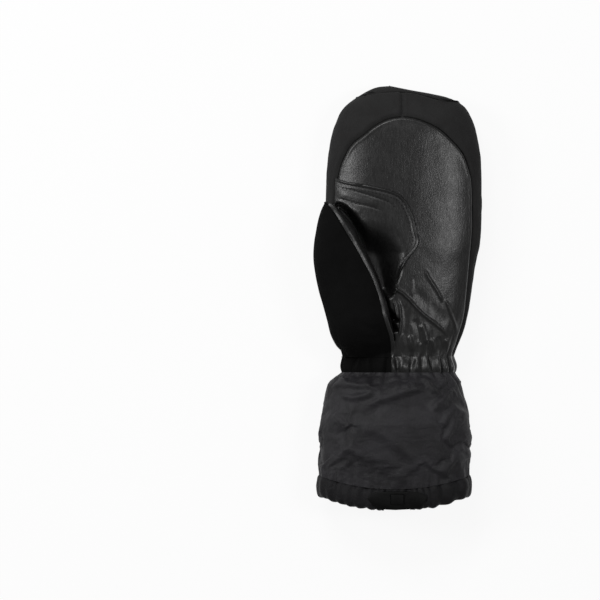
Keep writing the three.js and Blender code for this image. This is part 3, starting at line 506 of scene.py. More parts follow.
def hand_top(k, f, depth=0.0, pressed=True, relief=True):
    """Points of the palm side at a depth below its outer face."""
    outer = hand_plan.place(k, f)
    outer_y = outer[:, 1] - WRIST_Y
    share = arch(f, PALM_ROUNDNESS) * dome(HAND_LENGTH - outer_y, TIP_ROUNDING)
    rise = PALM_CROWN * read_shares(CROWN_SHARES, k) * share
    if pressed:
        rise = hollowed(outer, rise, outer_y)
    if relief:
        rise = rise + palm_relief(outer) * np.clip(share * 1.4, 0, 1)
    sunk = 1 - (1 - share) ** LAYER_SHARPNESS
    return np.stack([*drawn_in(outer, depth), SIDE_SEAM + rise - depth * sunk], 1)


def hand_base(k, f, depth=0.0):
    """Points of the back of the hand at a depth below its outer face."""
    outer = hand_plan.place(k, f)
    tip = dome(HAND_LENGTH - (outer[:, 1] - WRIST_Y), BACK_TIP_ROUNDING)
    share = BACK_FLAT * arch(f, BACK_ROUNDNESS) * tip
    height = SIDE_SEAM - (SIDE_SEAM - depth) * np.minimum(share, 1)
    return np.stack([*drawn_in(outer, depth), height], 1)


def palm_height(points, pressed=True, relief=True):
    """The height of the palm's outer face over plan places."""
    k, f = hand_plan.locate(points)
    return hand_top(k, f, 0.0, pressed, relief)[:, 2]


def thumb_grow(own_y):
    """How far the thumb has risen out of the palm, along its own length."""
    return np.sin(np.pi / 2 * np.clip((own_y + 32 * MM) / (38 * MM), 0, 1))


def thumb_section(k, f, depth):
    """Plan places across the thumb, how far along it they are, and where they are at a depth."""
    outer = thumb_plan.place(k, f)
    middle = thumb_plan.place(k, np.zeros(len(k)))
    return outer, thumb_own(outer)[:, 1], middle + (outer - middle) * (1 - depth / THUMB_HALF)


def thumb_top(k, f, depth=0.0, root=True):
    """Points of the thumb's upper face; with a root it rises out of the palm."""
    outer, own_y, places = thumb_section(k, f, depth)
    share = arch(f, PALM_ROUNDNESS) * dome(THUMB_REACH - own_y, THUMB_TIP_ROUNDING)
    if root:
        root_height = palm_height(outer, False, False) + 0.5 * MM
        height = mix(root_height, THUMB_SEAM_HEIGHT + THUMB_CROWN * share, thumb_grow(own_y))
        sunk = 1.0
    else:
        share = share * dome(own_y - THUMB_LAYER_ROOT, THUMB_LAYER_ROUNDING)
        height = THUMB_SEAM_HEIGHT + THUMB_CROWN * share
        sunk = 1 - (1 - share) ** LAYER_SHARPNESS
    return np.column_stack([places, height - depth * sunk])


def thumb_base(k, f, depth=0.0, root=True):
    """Points of the thumb's underside; with a root its middle stays low and its edges rise."""
    outer, own_y, places = thumb_section(k, f, depth)
    share = BACK_FLAT * arch(f, BACK_ROUNDNESS) * dome(THUMB_REACH - own_y, THUMB_TIP_ROUNDING)
    if not root:
        share = share * dome(own_y - THUMB_LAYER_ROOT, THUMB_LAYER_ROUNDING)
    height = THUMB_SEAM_HEIGHT - (THUMB_SEAM_RISE - depth) * np.minimum(share, 1)
    if root:
        inside = np.minimum(1, 2.5 * arch(f, BACK_ROUNDNESS))
        root_height = palm_height(outer, False, False) + mix(0.5, -2.0, inside) * MM
        grown = mix(thumb_grow(own_y), smoothstep(own_y, -28 * MM, 9 * MM), inside)
        height = mix(root_height, height, grown)
    return np.column_stack([places, height])


def hem_edge(across):
    return HEM_CORNER_Y - HEM_DROP * (1 - across * across)


def tube(angle, half, height, centre, floor, depth=0.0):
    """Places round a padded tube with a flattened underside, and how far across they are."""
    across = square_round(np.cos(angle))
    x = centre + (half - depth) * across
    z = height / 2 + (height / 2 - depth) * square_round(np.sin(angle))
    return x, np.maximum(z, floor + depth), across


def gauntlet_points(k, angle, depth=0.0):
    height = mix(WRIST_HEIGHT, GAUNTLET_HEIGHT, read_shares(HEIGHT_FLARE, k))
    half = mix(WRIST_HALF, GAUNTLET_HALF, read_shares(WIDTH_FLARE, k))
    centre = mix(WRIST_CENTRE, GAUNTLET_CENTRE, read_shares(CENTRE_SHIFT, k))
    x, z, across = tube(angle, half, height, centre, GAUNTLET_FLOOR, depth)
    y = mix(np.full_like(x, GAUNTLET_Y), hem_edge(across) + HEM_LENGTH + SEWN_GAP, k)
    return np.stack([x, y, z], 1)


def hem_points(k, angle, depth=0.0):
    bulge = HEM_BULGE * np.sin(np.pi * k)
    height = mix(WRIST_HEIGHT, GAUNTLET_HEIGHT, read_shares(HEIGHT_FLARE, 1)) + 2 * bulge
    x, z, across = tube(angle, GAUNTLET_HALF + bulge, height, GAUNTLET_CENTRE, 0.0, depth)
    z = z - bulge
    return np.stack([x, hem_edge(across) + HEM_LENGTH * (1 - k), np.maximum(z, depth)], 1)


def alone(piece):
    bpy.ops.object.select_all(action="DESELECT")
    piece.select_set(True)
    bpy.context.view_layer.objects.active = piece


def grid_piece(name, points, around=False):
    """A grid primitive laid over rows of points; around closes its first column on its last."""
    rows, columns = points.shape[:2]
    bpy.ops.object.select_all(action="DESELECT")
    bpy.ops.mesh.primitive_grid_add(x_subdivisions=columns - 1, y_subdivisions=rows - 1, size=1)
    piece = bpy.context.object
    piece.name = piece.data.name = name
    piece.data.vertices.foreach_set("co", points.reshape(-1))
    piece.data.update()
    if around:
        weld(piece)
    return piece


def reworked(piece, operation, **how):
    """Runs a mesh operation on the whole of a piece."""
    alone(piece)
    bpy.ops.object.mode_set(mode="EDIT")
    bpy.ops.mesh.select_all(action="SELECT")
    operation(**how)
    bpy.ops.object.mode_set(mode="OBJECT")


def weld(piece, distance=0.01 * MM):
    reworked(piece, bpy.ops.mesh.remove_doubles, threshold=distance)


def join(name, pieces):
    bpy.ops.object.select_all(action="DESELECT")
    for piece in pieces:
        piece.select_set(True)
    bpy.context.view_layer.objects.active = pieces[0]
    if len(pieces) > 1:
        bpy.ops.object.join()
    pieces[0].name = pieces[0].data.name = name
    return pieces[0]


def apply(piece, modifier):
    alone(piece)
    bpy.ops.object.modifier_apply(modifier=modifier.name)


def thicken(piece, thickness):
    wall = piece.modifiers.new("wall", "SOLIDIFY")
    wall.thickness = thickness
    wall.offset = -1
    apply(piece, wall)


def grid_normals(points):
    across, along = np.gradient(points, axis=1), np.gradient(points, axis=0)
    normals = np.cross(across, along)
    return normals / np.maximum(np.linalg.norm(normals, axis=2, keepdims=True), 1e-12)


def sink_seam(points, line, depth, width, rim=0.0):
    """Draws the surface in along a sewn line, with a slight roll on either side of it."""
    away = np.abs(space_distance(line, points.reshape(-1, 3)).reshape(points.shape[:2]))
    drop = depth * np.exp(-((away / width) ** 1.4))
    roll = rim * np.exp(-(((away - 2.2 * width) / width) ** 2))
    return points - grid_normals(points) * (drop - roll)[..., None]


def space_distance(line, points):
    """Distance of points from a line in space."""
    nearest = np.full(len(points), np.inf)
    for a, b in zip(line, line[1:]):
        along = b - a
        share = np.clip(((points - a) @ along) / max(along @ along, 1e-14), 0, 1)
        nearest = np.minimum(nearest, ((points - a - share[:, None] * along) ** 2).sum(1))
    return np.sqrt(nearest)


def matched(curve, marks, at, shares):
    """Places along a curve, so that each mark's nearest point falls at its own share."""
    run = np.linspace(0, 1, len(curve))
    found = [run[np.argmin(np.linalg.norm(curve - mark, axis=1))] for mark in on_plan(marks)]
    where = np.interp(shares, [0, *at, 1], [0, *found, 1])
    return np.stack([np.interp(where, run, curve[:, i]) for i in (0, 1)], 1)


def even_patch(bottom, right, top, left, rounds=260):
    """Plan places that fill four sides evenly."""
    rows, columns = len(left), len(bottom)
    u, v = np.linspace(0, 1, columns)[None, :, None], np.linspace(0, 1, rows)[:, None, None]
    places = mix(bottom[None], top[None], v) + mix(left[:, None], right[:, None], u)
    places = places - mix(mix(bottom[0], bottom[-1], u), mix(top[0], top[-1], u), v)
    for _ in range(rounds):
        places[1:-1, 1:-1] = (
            places[:-2, 1:-1] + places[2:, 1:-1] + places[1:-1, :-2] + places[1:-1, 2:]
        ) / 4
    return places


def lifted(places):
    """Rows of plan places raised to the palm's outer face."""
    flat = places.reshape(-1, 2)
    return np.column_stack([flat, palm_height(flat)]).reshape(*places.shape[:2], 3)


def thumb_hole_at(points):
    """How far from the middle of the thumb's hole plan places are; its edge is at 1."""
    own = thumb_own(points) - np.array(THUMB_HOLE_PLACE)
    return np.hypot(own[..., 0] / (THUMB_HOLE[0] / 2), own[..., 1] / (THUMB_HOLE[1] / 2))


def open_thumb_hole(piece, lowest=-1.0, highest=1.0):
    """Takes out the faces where the thumb goes in, between two heights."""
    mesh = piece.data
    centres = np.array([p.center for p in mesh.polygons])
    between = (centres[:, 2] > lowest) & (centres[:, 2] < highest)
    within = (thumb_hole_at(centres[:, :2]) < 1) & between
    alone(piece)
    bpy.ops.object.mode_set(mode="EDIT")
    bpy.ops.mesh.select_mode(type="FACE")
    bpy.ops.mesh.select_all(action="DESELECT")
    bpy.ops.object.mode_set(mode="OBJECT")
    mesh.polygons.foreach_set("select", within)
    bpy.ops.object.mode_set(mode="EDIT")
    bpy.ops.mesh.delete(type="FACE")
    bpy.ops.object.mode_set(mode="OBJECT")


def billowed(points, slack, pressure, most, inward):
    """Rows of a tube of cloth, simulated with its end rows held and its cloth cut too large."""
    coarse = points[::2, ::2]
    rows, columns = coarse.shape[0], coarse.shape[1] - 1
    cloth = grid_piece("cloth", coarse)
    start = coarse.reshape(-1, 3)
    weld(cloth)
    place = np.empty(len(cloth.data.vertices) * 3)
    cloth.data.vertices.foreach_get("co", place)
    place = place.reshape(-1, 3)
    found = np.array([np.argmin(((place - p) ** 2).sum(1)) for p in start])
    held = cloth.vertex_groups.new(name="held")
    held.add([int(i) for i in np.unique(found[: columns + 1])], 1.0, "REPLACE")
    held.add([int(i) for i in np.unique(found[-columns - 1:])], 1.0, "REPLACE")
    drape = cloth.modifiers.new("drape", "CLOTH")
    how = drape.settings
    how.quality, how.mass, how.vertex_group_mass = 6, 0.15, "held"
    how.tension_stiffness = how.compression_stiffness = 12
    how.shear_stiffness, how.bending_stiffness = 6, 0.6
    how.shrink_min, how.use_pressure, how.uniform_pressure_force = -slack, True, pressure
    how.effector_weights.gravity = 0
    drape.collision_settings.use_collision = False
    for step in range(1, 21):
        bpy.context.scene.frame_set(step)
    apply(cloth, drape)
    bpy.context.scene.frame_set(1)
    after = np.empty(len(cloth.data.vertices) * 3)
    cloth.data.vertices.foreach_get("co", after)
    bpy.data.objects.remove(cloth)
    move = (after.reshape(-1, 3) - place)[found].reshape(rows, columns + 1, 3)
    normals = grid_normals(coarse)
    outward = (move * normals).sum(axis=2, keepdims=True)
    move = move + normals * (np.maximum(outward, -inward) - outward)
    length = np.linalg.norm(move, axis=2, keepdims=True)
    move = move * np.minimum(1, most / np.maximum(length, 1e-9))
    across = np.arange(points.shape[1]) / 2
    along = np.clip(np.arange(points.shape[0]) / 2, 0, rows - 1)
    wide = np.stack([
        np.stack([np.interp(across, np.arange(columns + 1), row[:, i]) for row in move]) for i in range(3)
    ], 2)
    full = np.stack([
        np.stack([np.interp(along, np.arange(rows), wide[:, j, i]) for j in range(wide.shape[1])], 1)
        for i in range(3)
    ], 2)
    return points + full


def stitch_rows(name, piece, lines, body, pitch=3.2 * MM, length=2.0 * MM, width=0.5 * MM):
    """Rows of stitches laid on a piece along lines given over the plan."""
    mesh = piece.data
    surface = BVHTree.FromPolygons([v.co for v in mesh.vertices], [p.vertices for p in mesh.polygons])
    bpy.ops.object.select_all(action="DESELECT")
    bpy.ops.mesh.primitive_uv_sphere_add(segments=8, ring_count=5, radius=0.5)
    first = bpy.context.object
    made = []
    for line in lines:
        steps = np.linalg.norm(np.diff(line, axis=0), axis=1).sum()
        places = evenly(line, max(int(steps / pitch), 3))
        for place, before, after in zip(places[1:-1], places, places[2:]):
            found, normal, _, _ = surface.ray_cast(Vector((*place, 0.2)), Vector((0, 0, -1)))
            if found is None:
                continue
            along = Vector((*(after - before), 0))
            along = (along - normal * along.dot(normal)).normalized()
            side = normal.cross(along)
            turn = Matrix((along * length, side * width, normal * width * 0.8)).transposed().to_4x4()
            stitch = first.copy()
            stitch.data = first.data.copy()
            stitch.data.transform(Matrix.Translation(found + normal * width * 0.12) @ turn)
            bpy.context.scene.collection.objects.link(stitch)
            made.append(stitch)
    bpy.data.objects.remove(first)
    finished(join(name, made), body, "thread", [])


def finished(piece, body, finish, nodes, angle=70):
    """Shades a piece and gives it its material; attaches it to the body it rides on, or, when given a
    pair of bodies, leaves it unparented with its place baked in; and hides the CAD nodes it stands for.
    """
    alone(piece)
    bpy.ops.object.shade_smooth_by_angle(angle=math.radians(angle))
    piece.data.materials.clear()
    piece.data.materials.append(FINISHES[finish])
    if isinstance(body, tuple):
        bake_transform(piece)
    else:
        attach(piece, body)
    if nodes:
        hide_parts(*nodes)


class Value:
    """An output of a material's node, which sums and products can be written with."""

    def __init__(self, finish, socket):
        self.finish, self.socket = finish, socket

    def maths(self, operation, *others):
        inputs = dict(enumerate([self, *others]))
        return self.finish.node("Math", {"operation": operation}, inputs)

    def __add__(self, other):
        return self.maths("ADD", other)

    __radd__ = __add__

    def __mul__(self, other):
        return self.maths("MULTIPLY", other)

    def __sub__(self, other):
        return self.maths("SUBTRACT", other)

    def sine(self):
        return self.maths("SINE")

    def ramp(self, low, high, start=0.0, end=1.0):
        """The value taken from low..high to start..end, smoothly and held there."""
        return self.finish.node(
            "MapRange",
            {"interpolation_type": "SMOOTHSTEP"},
            {"Value": self, "From Min": low, "From Max": high, "To Min": start, "To Max": end},
        )


class Finish:
    """One material, built from a principled shader and the nodes that vary it."""

    def __init__(self, name, **constants):
        self.material = bpy.data.materials.new(name)
        self.material.use_nodes = True
        self.tree = self.material.node_tree
        self.shader = self.tree.nodes["Principled BSDF"]
        for socket, value in constants.items():
            self.feed(self.shader.inputs[socket.replace("_", " ")], value)
        self.place = self.node("TexCoord", output="Object")

    def node(self, kind, settings=None, inputs=None, output=0):
        made = self.tree.nodes.new("ShaderNode" + kind)
        for name, value in (settings or {}).items():
            setattr(made, name, value)
        for key, value in (inputs or {}).items():
            self.feed(made.inputs[key], value)
        return Value(self, made.outputs[output])

    def feed(self, socket, value):
        if isinstance(value, Value):
            self.tree.links.new(value.socket, socket)
        elif isinstance(value, tuple) and len(value) == 3 and socket.type == "RGBA":
            socket.default_value = (*value, 1)
        else:
            socket.default_value = value

    def spread(self, x, y, z):
        """Object coordinates counted in cells of the given size in millimetres."""
        scale = (1 / (x * MM), 1 / (y * MM), 1 / (z * MM))
        return self.node("Mapping", None, {"Vector": self.place, "Scale": scale})

    def noise(self, cells, detail=2.0, roughness=0.5, distortion=0.0):
        inputs = {
            "Vector": cells, "Scale": 1.0, "Detail": detail, "Roughness": roughness,
            "Distortion": distortion,
        }
        return self.node("TexNoise", None, inputs)

    def pebbles(self, cells):
        """The distance from the middle of the nearest pebble."""
        inputs = {"Vector": cells, "Scale": 1.0, "Randomness": 1.0}
        return self.node("TexVoronoi", {"feature": "F1"}, inputs)

    def axes(self, vector):
        """The three parts of a vector."""
        split = self.tree.nodes.new("ShaderNodeSeparateXYZ")
        self.feed(split.inputs[0], vector)
        return [Value(self, out) for out in split.outputs]

    def blend(self, share, a, b):
        """A colour between a and b."""
        mixer = self.tree.nodes.new("ShaderNodeMix")
        mixer.data_type = "RGBA"
        for key, value in ((0, share), (6, a), (7, b)):
            self.feed(mixer.inputs[key], value)
        return Value(self, mixer.outputs[2])

    def relief(self, height, depth, under=None):
        """Bump of a depth in millimetres, on top of another bump if one is given."""
        inputs = {"Height": height, "Distance": depth * MM, "Strength": 1.0}
        if under is not None:
            inputs["Normal"] = under
        return self.node("Bump", None, inputs)

    def use(self, **links):
        for socket, value in links.items():
            self.feed(self.shader.inputs[socket.replace("_", " ")], value)
        return self.material


def grey(level, red=1.0, blue=1.0):
    """A colour near grey, from its level on a screen, 0 to 255."""
    light = ((level / 255 + 0.055) / 1.055) ** 2.4 if level > 10 else level / 255 / 12.92
    return (light * red, light, light * blue)


def leather(name, low, high, gloss, grain=1.0, streak=1.0):
    """Goat hide: pebbles drawn out along the hand, worn lighter on their crests and darker in the grooves
    between them, where the darkening is painted shade.
    """
    f = Finish(name, IOR=1.5)
    warp = f.noise(f.spread(2.2, 3.4, 2.2), 2.0)
    pebble_cells = f.node(
        "VectorMath", {"operation": "ADD"},
        {0: f.spread(0.85, 1.7, 0.85), 1: f.node("CombineXYZ", None, {0: warp, 1: warp, 2: warp})},
    )
    pebble = f.pebbles(pebble_cells)
    streaks = f.noise(f.spread(1.1, 7.0, 1.1), 3.0, 0.6)
    patches = f.noise(f.spread(18, 28, 18), 2.0, 0.5)
    fine = f.noise(f.spread(0.4, 0.6, 0.4), 2.0)
    crest = pebble.ramp(0.75, 0.1)
    height = crest * 0.55 + streaks * (1.1 * streak) + fine * 0.15
    # Pebble crests are worn lighter, as on real hide, and the darker grooves between them are painted
    # shade. Streaks and slow patches give the hide's own uneven tone.
    wear_and_groove_shade = crest * 0.4 + streaks.ramp(0.35, 0.7) * 0.4 + patches.ramp(0.3, 0.75) * 0.2
    return f.use(
        Base_Color=f.blend(wear_and_groove_shade, low, high),
        Roughness=(gloss + streaks.ramp(0.3, 0.7) * 0.08) - crest * 0.05,
        Normal=f.relief(height, 0.085 * grain),
    )


def woven(name, low, high, rough, thread, depth, crinkle=0.0, crinkle_size=6.0, shine=0.28):
    """Plain woven cloth, with a crinkle where it is thin."""
    f = Finish(name, IOR=1.4, Specular_IOR_Level=shine)
    x, y, z = f.axes(f.spread(thread / math.pi, thread / math.pi, thread / math.pi))
    weave = (x + z * 0.7).sine() * (y + z * 0.7).sine()
    patches = f.noise(f.spread(22, 22, 22), 3.0, 0.55)
    slub = f.noise(f.spread(0.7, 5.0, 0.7), 2.0)
    bump = f.relief(weave * 0.5 + slub * 0.6, depth)
    if crinkle:
        wide = f.spread(crinkle_size * 1.6, crinkle_size, crinkle_size)
        wrinkles = f.noise(wide, 3.0, 0.55, 0.6)
        bump = f.relief(wrinkles, crinkle, bump)
    shade = patches.ramp(0.3, 0.7) * 0.6 + slub.ramp(0.3, 0.7) * 0.25 + weave * 0.08
    return f.use(Base_Color=f.blend(shade, low, high), Roughness=rough + patches * 0.06, Normal=bump)


def fleece(name, low, high, curl, depth):
    """Curled pile or loose wadding."""
    f = Finish(
        name, IOR=1.4, Roughness=0.95, Sheen_Weight=0.25, Sheen_Roughness=0.6, Specular_IOR_Level=0.1
    )
    tufts = f.pebbles(f.spread(curl, curl, curl))
    fuzz = f.noise(f.spread(curl * 0.35, curl * 0.35, curl * 0.35), 3.0, 0.7)
    height = tufts.ramp(0.7, 0.1) + fuzz * 0.6
    return f.use(Base_Color=f.blend(height * 0.6, low, high), Normal=f.relief(height, depth))


def moulded(name, low, high, rough):
    f = Finish(name, IOR=1.5, Specular_IOR_Level=0.12)
    grain = f.noise(f.spread(0.4, 0.4, 0.4), 3.0, 0.6)
    worn = f.noise(f.spread(5, 5, 5), 3.0, 0.6)
    return f.use(
        Base_Color=f.blend(worn.ramp(0.35, 0.75), low, high),
        Roughness=rough + worn * 0.1,
        Normal=f.relief(grain, 0.05),
    )


def ribbed(name, low, high, rib):
    """Elastic webbing or cord, ribbed across its length."""
    f = Finish(name, IOR=1.4, Roughness=0.85, Specular_IOR_Level=0.2)
    x, y, z = f.axes(f.spread(rib / math.pi, rib / math.pi, rib / math.pi))
    ribs = (x + z * 0.6).sine() * (y * 0.8 + x * 0.3).sine()
    return f.use(Base_Color=f.blend(ribs.ramp(-1, 1), low, high), Normal=f.relief(ribs, 0.2))


def film(name, low, high):
    f = Finish(name, IOR=1.45, Roughness=0.4)
    crinkle = f.noise(f.spread(9, 9, 9), 4.0, 0.6, 1.0)
    return f.use(Base_Color=f.blend(crinkle, low, high), Normal=f.relief(crinkle, 1.0))


def wire(name, low, high):
    f = Finish(name, Metallic=1.0)
    drawn = f.noise(f.spread(0.15, 0.15, 0.15), 3.0)
    return f.use(Base_Color=f.blend(drawn, low, high), Roughness=0.22 + drawn * 0.15)


FINISHES = {
    "palm": leather("palm_leather_finish", grey(7), grey(25, 1.02, 0.99), 0.33),
    "patch": leather("patch_leather_finish", grey(9), grey(28), 0.32, 0.8, 0.8),
    "thumb_leather": leather("thumb_leather_finish", grey(9), grey(28), 0.34, 0.8),
    "softshell": woven(
        "softshell_finish", grey(33, 1.02, 1.0), grey(41), 0.8, 0.75, 0.1, 0.35, 9.0, 0.15
    ),
    "thumb_cloth": woven("thumb_cloth_finish", grey(13), grey(17), 0.92, 0.7, 0.09, shine=0.05),
    "nylon": woven(
        "gauntlet_nylon_finish", grey(26, 1.05, 1.12), grey(41, 1.04, 1.13), 0.5, 0.55, 0.08, 0.9, 7.0
    ),
    # The hem is the gauntlet's nylon in a darker copy: painted shade for the band, which turns down and
    # away from the lamps.
    "hem": woven(
        "hem_nylon_painted_shade_finish", grey(14, 1.05, 1.12), grey(23, 1.04, 1.13), 0.55, 0.55, 0.08, 0.9, 7.0, 0.2
    ),
    "lining": woven("gauntlet_lining_finish", grey(26), grey(36), 0.6, 0.5, 0.06, 0.8, 8.0),
    "fleece": fleece("fleece_finish", grey(18), grey(48), 1.6, 0.7),
    "wadding": fleece("wadding_finish", grey(190), grey(232), 2.4, 1.0),
    "film": film("insert_film_finish", grey(120), grey(190)),
    "elastic": ribbed("elastic_finish", grey(18), grey(40), 0.9),
    "plastic": moulded("moulded_plastic_finish", grey(2), grey(5), 0.5),
    "steel": wire("spring_wire_finish", grey(150), grey(215)),
    "thread": ribbed("thread_finish", grey(14), grey(34), 0.35),
}


def edge_curve(points, count):
    """A side of the palm's leather, starting on the wrist's seam."""
    curve = smooth_curve(on_plan(points), count)
    curve[0, 1] = WRIST_Y
    return curve


LEATHER_ROWS, LEATHER_COLUMNS = 250, 150
leather_left = edge_curve(LEATHER_LEFT, LEATHER_ROWS)
leather_right = edge_curve(LEATHER_RIGHT, LEATHER_ROWS)
leather_top = smooth_curve(on_plan(LEATHER_TOP), LEATHER_COLUMNS)
# The leather's sewn edge, from the wrist on the thumb's side round the fingertips and back.
leather_edge = np.vstack([leather_left[::3], leather_top[1:-1:2], leather_right[::-3]])
TIP_SEAM_LEFT = [(363.4, 95.6), (367.6, 94), (381.6, 92.8), (392, 92.2), (401.7, 92.1)]
TIP_SEAM_RIGHT = [(452, 100.9), (441.6, 100.4), (427.6, 96.6), (414, 93.2), (401.7, 92.1)]
CENTRE_SEAM_X = (401.7 - PLAN_ORIGIN[0]) * PLAN_UNIT
# How short of the fingertip seam's corner the gussets' outer edge stops.
CORNER_REACH = 0.4 * MM


def gusset_outer(side, seam, count):
    """A gusset's outer edge: the hand's outline, then the seam that crosses the fingertips."""
    across = on_plan(seam)
    outline = side[side[:, 1] < across[0, 1] - CORNER_REACH]
    return evenly(np.vstack([outline, smooth_curve(across, 80)]), count)


def raised(line, lift=0.0):
    """Plan places lifted onto the palm's outer face."""
    return np.column_stack([line, palm_height(line) + lift])


def side_seam_line(outer):
    """The seam between a gusset and the back, in space: level at the sides, up over the tip."""
    inward = np.minimum(
        np.linalg.norm(outer[:, None] - hand_plan.left[None, ::4], axis=2).min(1),
        np.linalg.norm(outer[:, None] - hand_plan.right[None, ::4], axis=2).min(1),
    )
    share = smoothstep(inward, 0.5 * MM, 1.6 * MM)
    return np.column_stack([outer, mix(SIDE_SEAM, palm_height(outer), share)])


outer_left = gusset_outer(hand_plan.left, TIP_SEAM_LEFT, 400)
outer_right = gusset_outer(hand_plan.right, TIP_SEAM_RIGHT, 400)
seam_left, seam_right = side_seam_line(outer_left), side_seam_line(outer_right)
# The part of the two seams that crosses the fingertips, from left to right.
seam_space = np.vstack([seam[seam[:, 1] > 112 * MM] for seam in (seam_left, seam_right)])
seam_space = seam_space[np.argsort(seam_space[:, 0])]
leather_seam = raised(leather_edge)
centre_seam = raised(np.column_stack([np.full(30, CENTRE_SEAM_X), np.linspace(99, 122, 30) * MM]))
SEAM_DEPTH, SEAM_WIDTH = 1.5 * MM, 1.5 * MM


def sewn(points, *lines, depth=SEAM_DEPTH, width=SEAM_WIDTH, rim=0.35 * MM):
    for line in lines:
        points = sink_seam(points, line, depth, width, rim)
    return points


def make_palm():
    bottom = evenly(np.array([leather_left[0], leather_right[0]]), LEATHER_COLUMNS)
    places = even_patch(bottom, leather_right, leather_top, leather_left)
    points = gathered(sewn(lifted(places), leather_seam, depth=1.7 * MM))
    palm = grid_piece("palm_leather_skin", points)
    open_thumb_hole(palm)
    thicken(palm, LEATHER)
    finished(palm, "hand", "palm", ["palm_leather"])


def make_gusset(name, node, outer, inner, marks_out, marks_in, at, seam, mirrored):
    """A gusset between its outer and inner edges, whose marks lie at the same shares of both."""
    rows, columns = 320, 34
    shares = np.linspace(0, 1, rows)
    out_line = matched(outer, marks_out, at, shares)
    in_line = matched(inner, marks_in, at, shares)
    out_line[-1] = (CENTRE_SEAM_X, out_line[-1][1])
    in_line[-1] = (CENTRE_SEAM_X, in_line[-1][1])
    across = np.linspace(0, 1, columns)[None, :, None]
    across = mix(across**2, across, 0.12)
    places = mix(out_line[:, None], in_line[:, None], across)
    points = lifted(places)
    edge = np.column_stack([out_line, np.interp(shares, np.linspace(0, 1, len(seam)), seam[:, 2])])
    points[:, 0] = edge
    if mirrored:
        points = points[:, ::-1]
    points = sewn(points, leather_seam[::2], centre_seam)
    points = sewn(points, seam[::4], depth=1.1 * MM, rim=0.3 * MM)
    flat = points.reshape(-1, 3)
    ripple = soft_noise(flat, 26 * MM, 3) * 0.7 * MM + soft_noise(flat, 9 * MM, 4) * 0.22 * MM
    ripple = ripple * calm(flat[:, 1])
    points = points + grid_normals(points) * ripple.reshape(rows, columns, 1)
    gusset = grid_piece(name, gathered(points))
    thicken(gusset, CLOTH)
    finished(gusset, "hand", "softshell", [node])


def up_to_centre(side, top):
    """A side of the leather and its top edge as far as the centre seam."""
    return np.vstack([side, top[: np.argmin(np.abs(top[:, 0] - CENTRE_SEAM_X)) + 1]])


def make_gussets():
    make_gusset(
        "thumb_side_gusset_skin", "thumb_side_gusset", outer_left,
        up_to_centre(leather_left, leather_top),
        [(328, 200), (345.5, 108.5), (372, 93.4)], [(334, 200), (354, 141), (381, 122)],
        [0.5, 0.8, 0.91], seam_left, False,
    )
    make_gusset(
        "little_finger_side_gusset_skin", "little_finger_side_gusset", outer_right,
        up_to_centre(leather_right, leather_top[::-1]),
        [(484.5, 200), (474, 117), (440, 100)], [(473, 200), (457, 146), (427, 123)],
        [0.5, 0.77, 0.89], seam_right, True,
    )


def make_back():
    rows = 1 - (1 - np.linspace(0, 1, 190)) ** 1.7
    columns = -np.cos(np.linspace(0, np.pi, 130))
    k, f = np.meshgrid(rows, columns[::-1], indexing="ij")
    points = hand_base(k.ravel(), f.ravel()).reshape(*k.shape, 3)
    flat = points.reshape(-1, 3)
    ripple = soft_noise(flat, 34 * MM, 8) * 0.9 * MM + soft_noise(flat, 11 * MM, 9) * 0.3 * MM
    inset = (np.maximum(ripple, 0) * calm(flat[:, 1])).reshape(*k.shape, 1)
    points = points - grid_normals(points) * inset
    points = sewn(points, seam_left[::4], seam_right[::4], depth=1.1 * MM, rim=0.3 * MM)
    points = gathered(points)
    points[..., 2] = np.maximum(points[..., 2], 0)
    base = grid_piece("back_shell_skin", points)
    strip = make_tip_strip()
    back = join("back_shell_skin", [base, strip])
    weld(back, 0.05 * MM)
    thicken(back, CLOTH)
    finished(back, "hand", "softshell", ["back_shell"])


def make_tip_strip():
    """The part of the back that comes up over the fingertips to its seam with the gussets."""
    seam_l = smooth_curve(on_plan(TIP_SEAM_LEFT), 120)
    seam_r = smooth_curve(on_plan(TIP_SEAM_RIGHT), 120)
    left, right = (
        evenly(side[side[:, 1] >= seam[0, 1] - 5 * CORNER_REACH], 200)
        for side, seam in ((hand_plan.left, seam_l), (hand_plan.right, seam_r))
    )
    seam = np.vstack([left[:1], seam_l, seam_r[-2::-1], right[:1]])
    outline = evenly(np.vstack([left, right[-2::-1]]), 240)
    inner = evenly(seam, 240)
    across = (np.linspace(0, 1, 16) ** 2)[:, None, None]
    places = mix(outline[None], inner[None], across)
    points = lifted(places)
    points[0, :, 2] = SIDE_SEAM
    away = np.linalg.norm(places - inner[None], axis=2)
    width = np.linalg.norm(outline - inner, axis=1)
    drop = np.exp(-((away / (1.3 * MM)) ** 1.4)) * smoothstep(width, 0, 3 * MM)[None]
    points[..., 2] -= drop * 1.0 * MM
    points[-1, :, 2] = np.interp(inner[:, 0], seam_space[:, 0], seam_space[:, 2]) - 0.9 * MM
    points[-1, [0, -1], 2] = SIDE_SEAM
    return grid_piece("tip_strip", points[::-1])


# The patch's four edges on the plan sheet, and the line of stitches over the thumb's crotch.
PATCH_TOP = [
    (335.2, 178.2), (343.4, 181.4), (360, 184.6), (376.5, 187.8), (389.3, 191), (399.5, 195.4),
]
PATCH_RIGHT = [
    (398.5, 291.6), (396.3, 286.5), (397, 279), (400.8, 270), (407.1, 259.8), (415.4, 249.6),
    (418.6, 242), (416, 230.5), (414.2, 221), (411, 212.7), (405.9, 202.4), (399.5, 195.4),
]
PATCH_LEFT = [(349, 284), (338.5, 268), (335, 248), (333.9, 225), (334.6, 200), (335.2, 178.2)]
PATCH_BOTTOM = [
    (349, 284), (362, 292), (374, 296.6), (381, 297.6), (387, 297.6), (392.5, 294.8), (398.5, 291.6),
]
CROTCH_STITCHES = [(382, 294.6), (387, 294.8), (392, 292.4), (396.6, 289.4)]
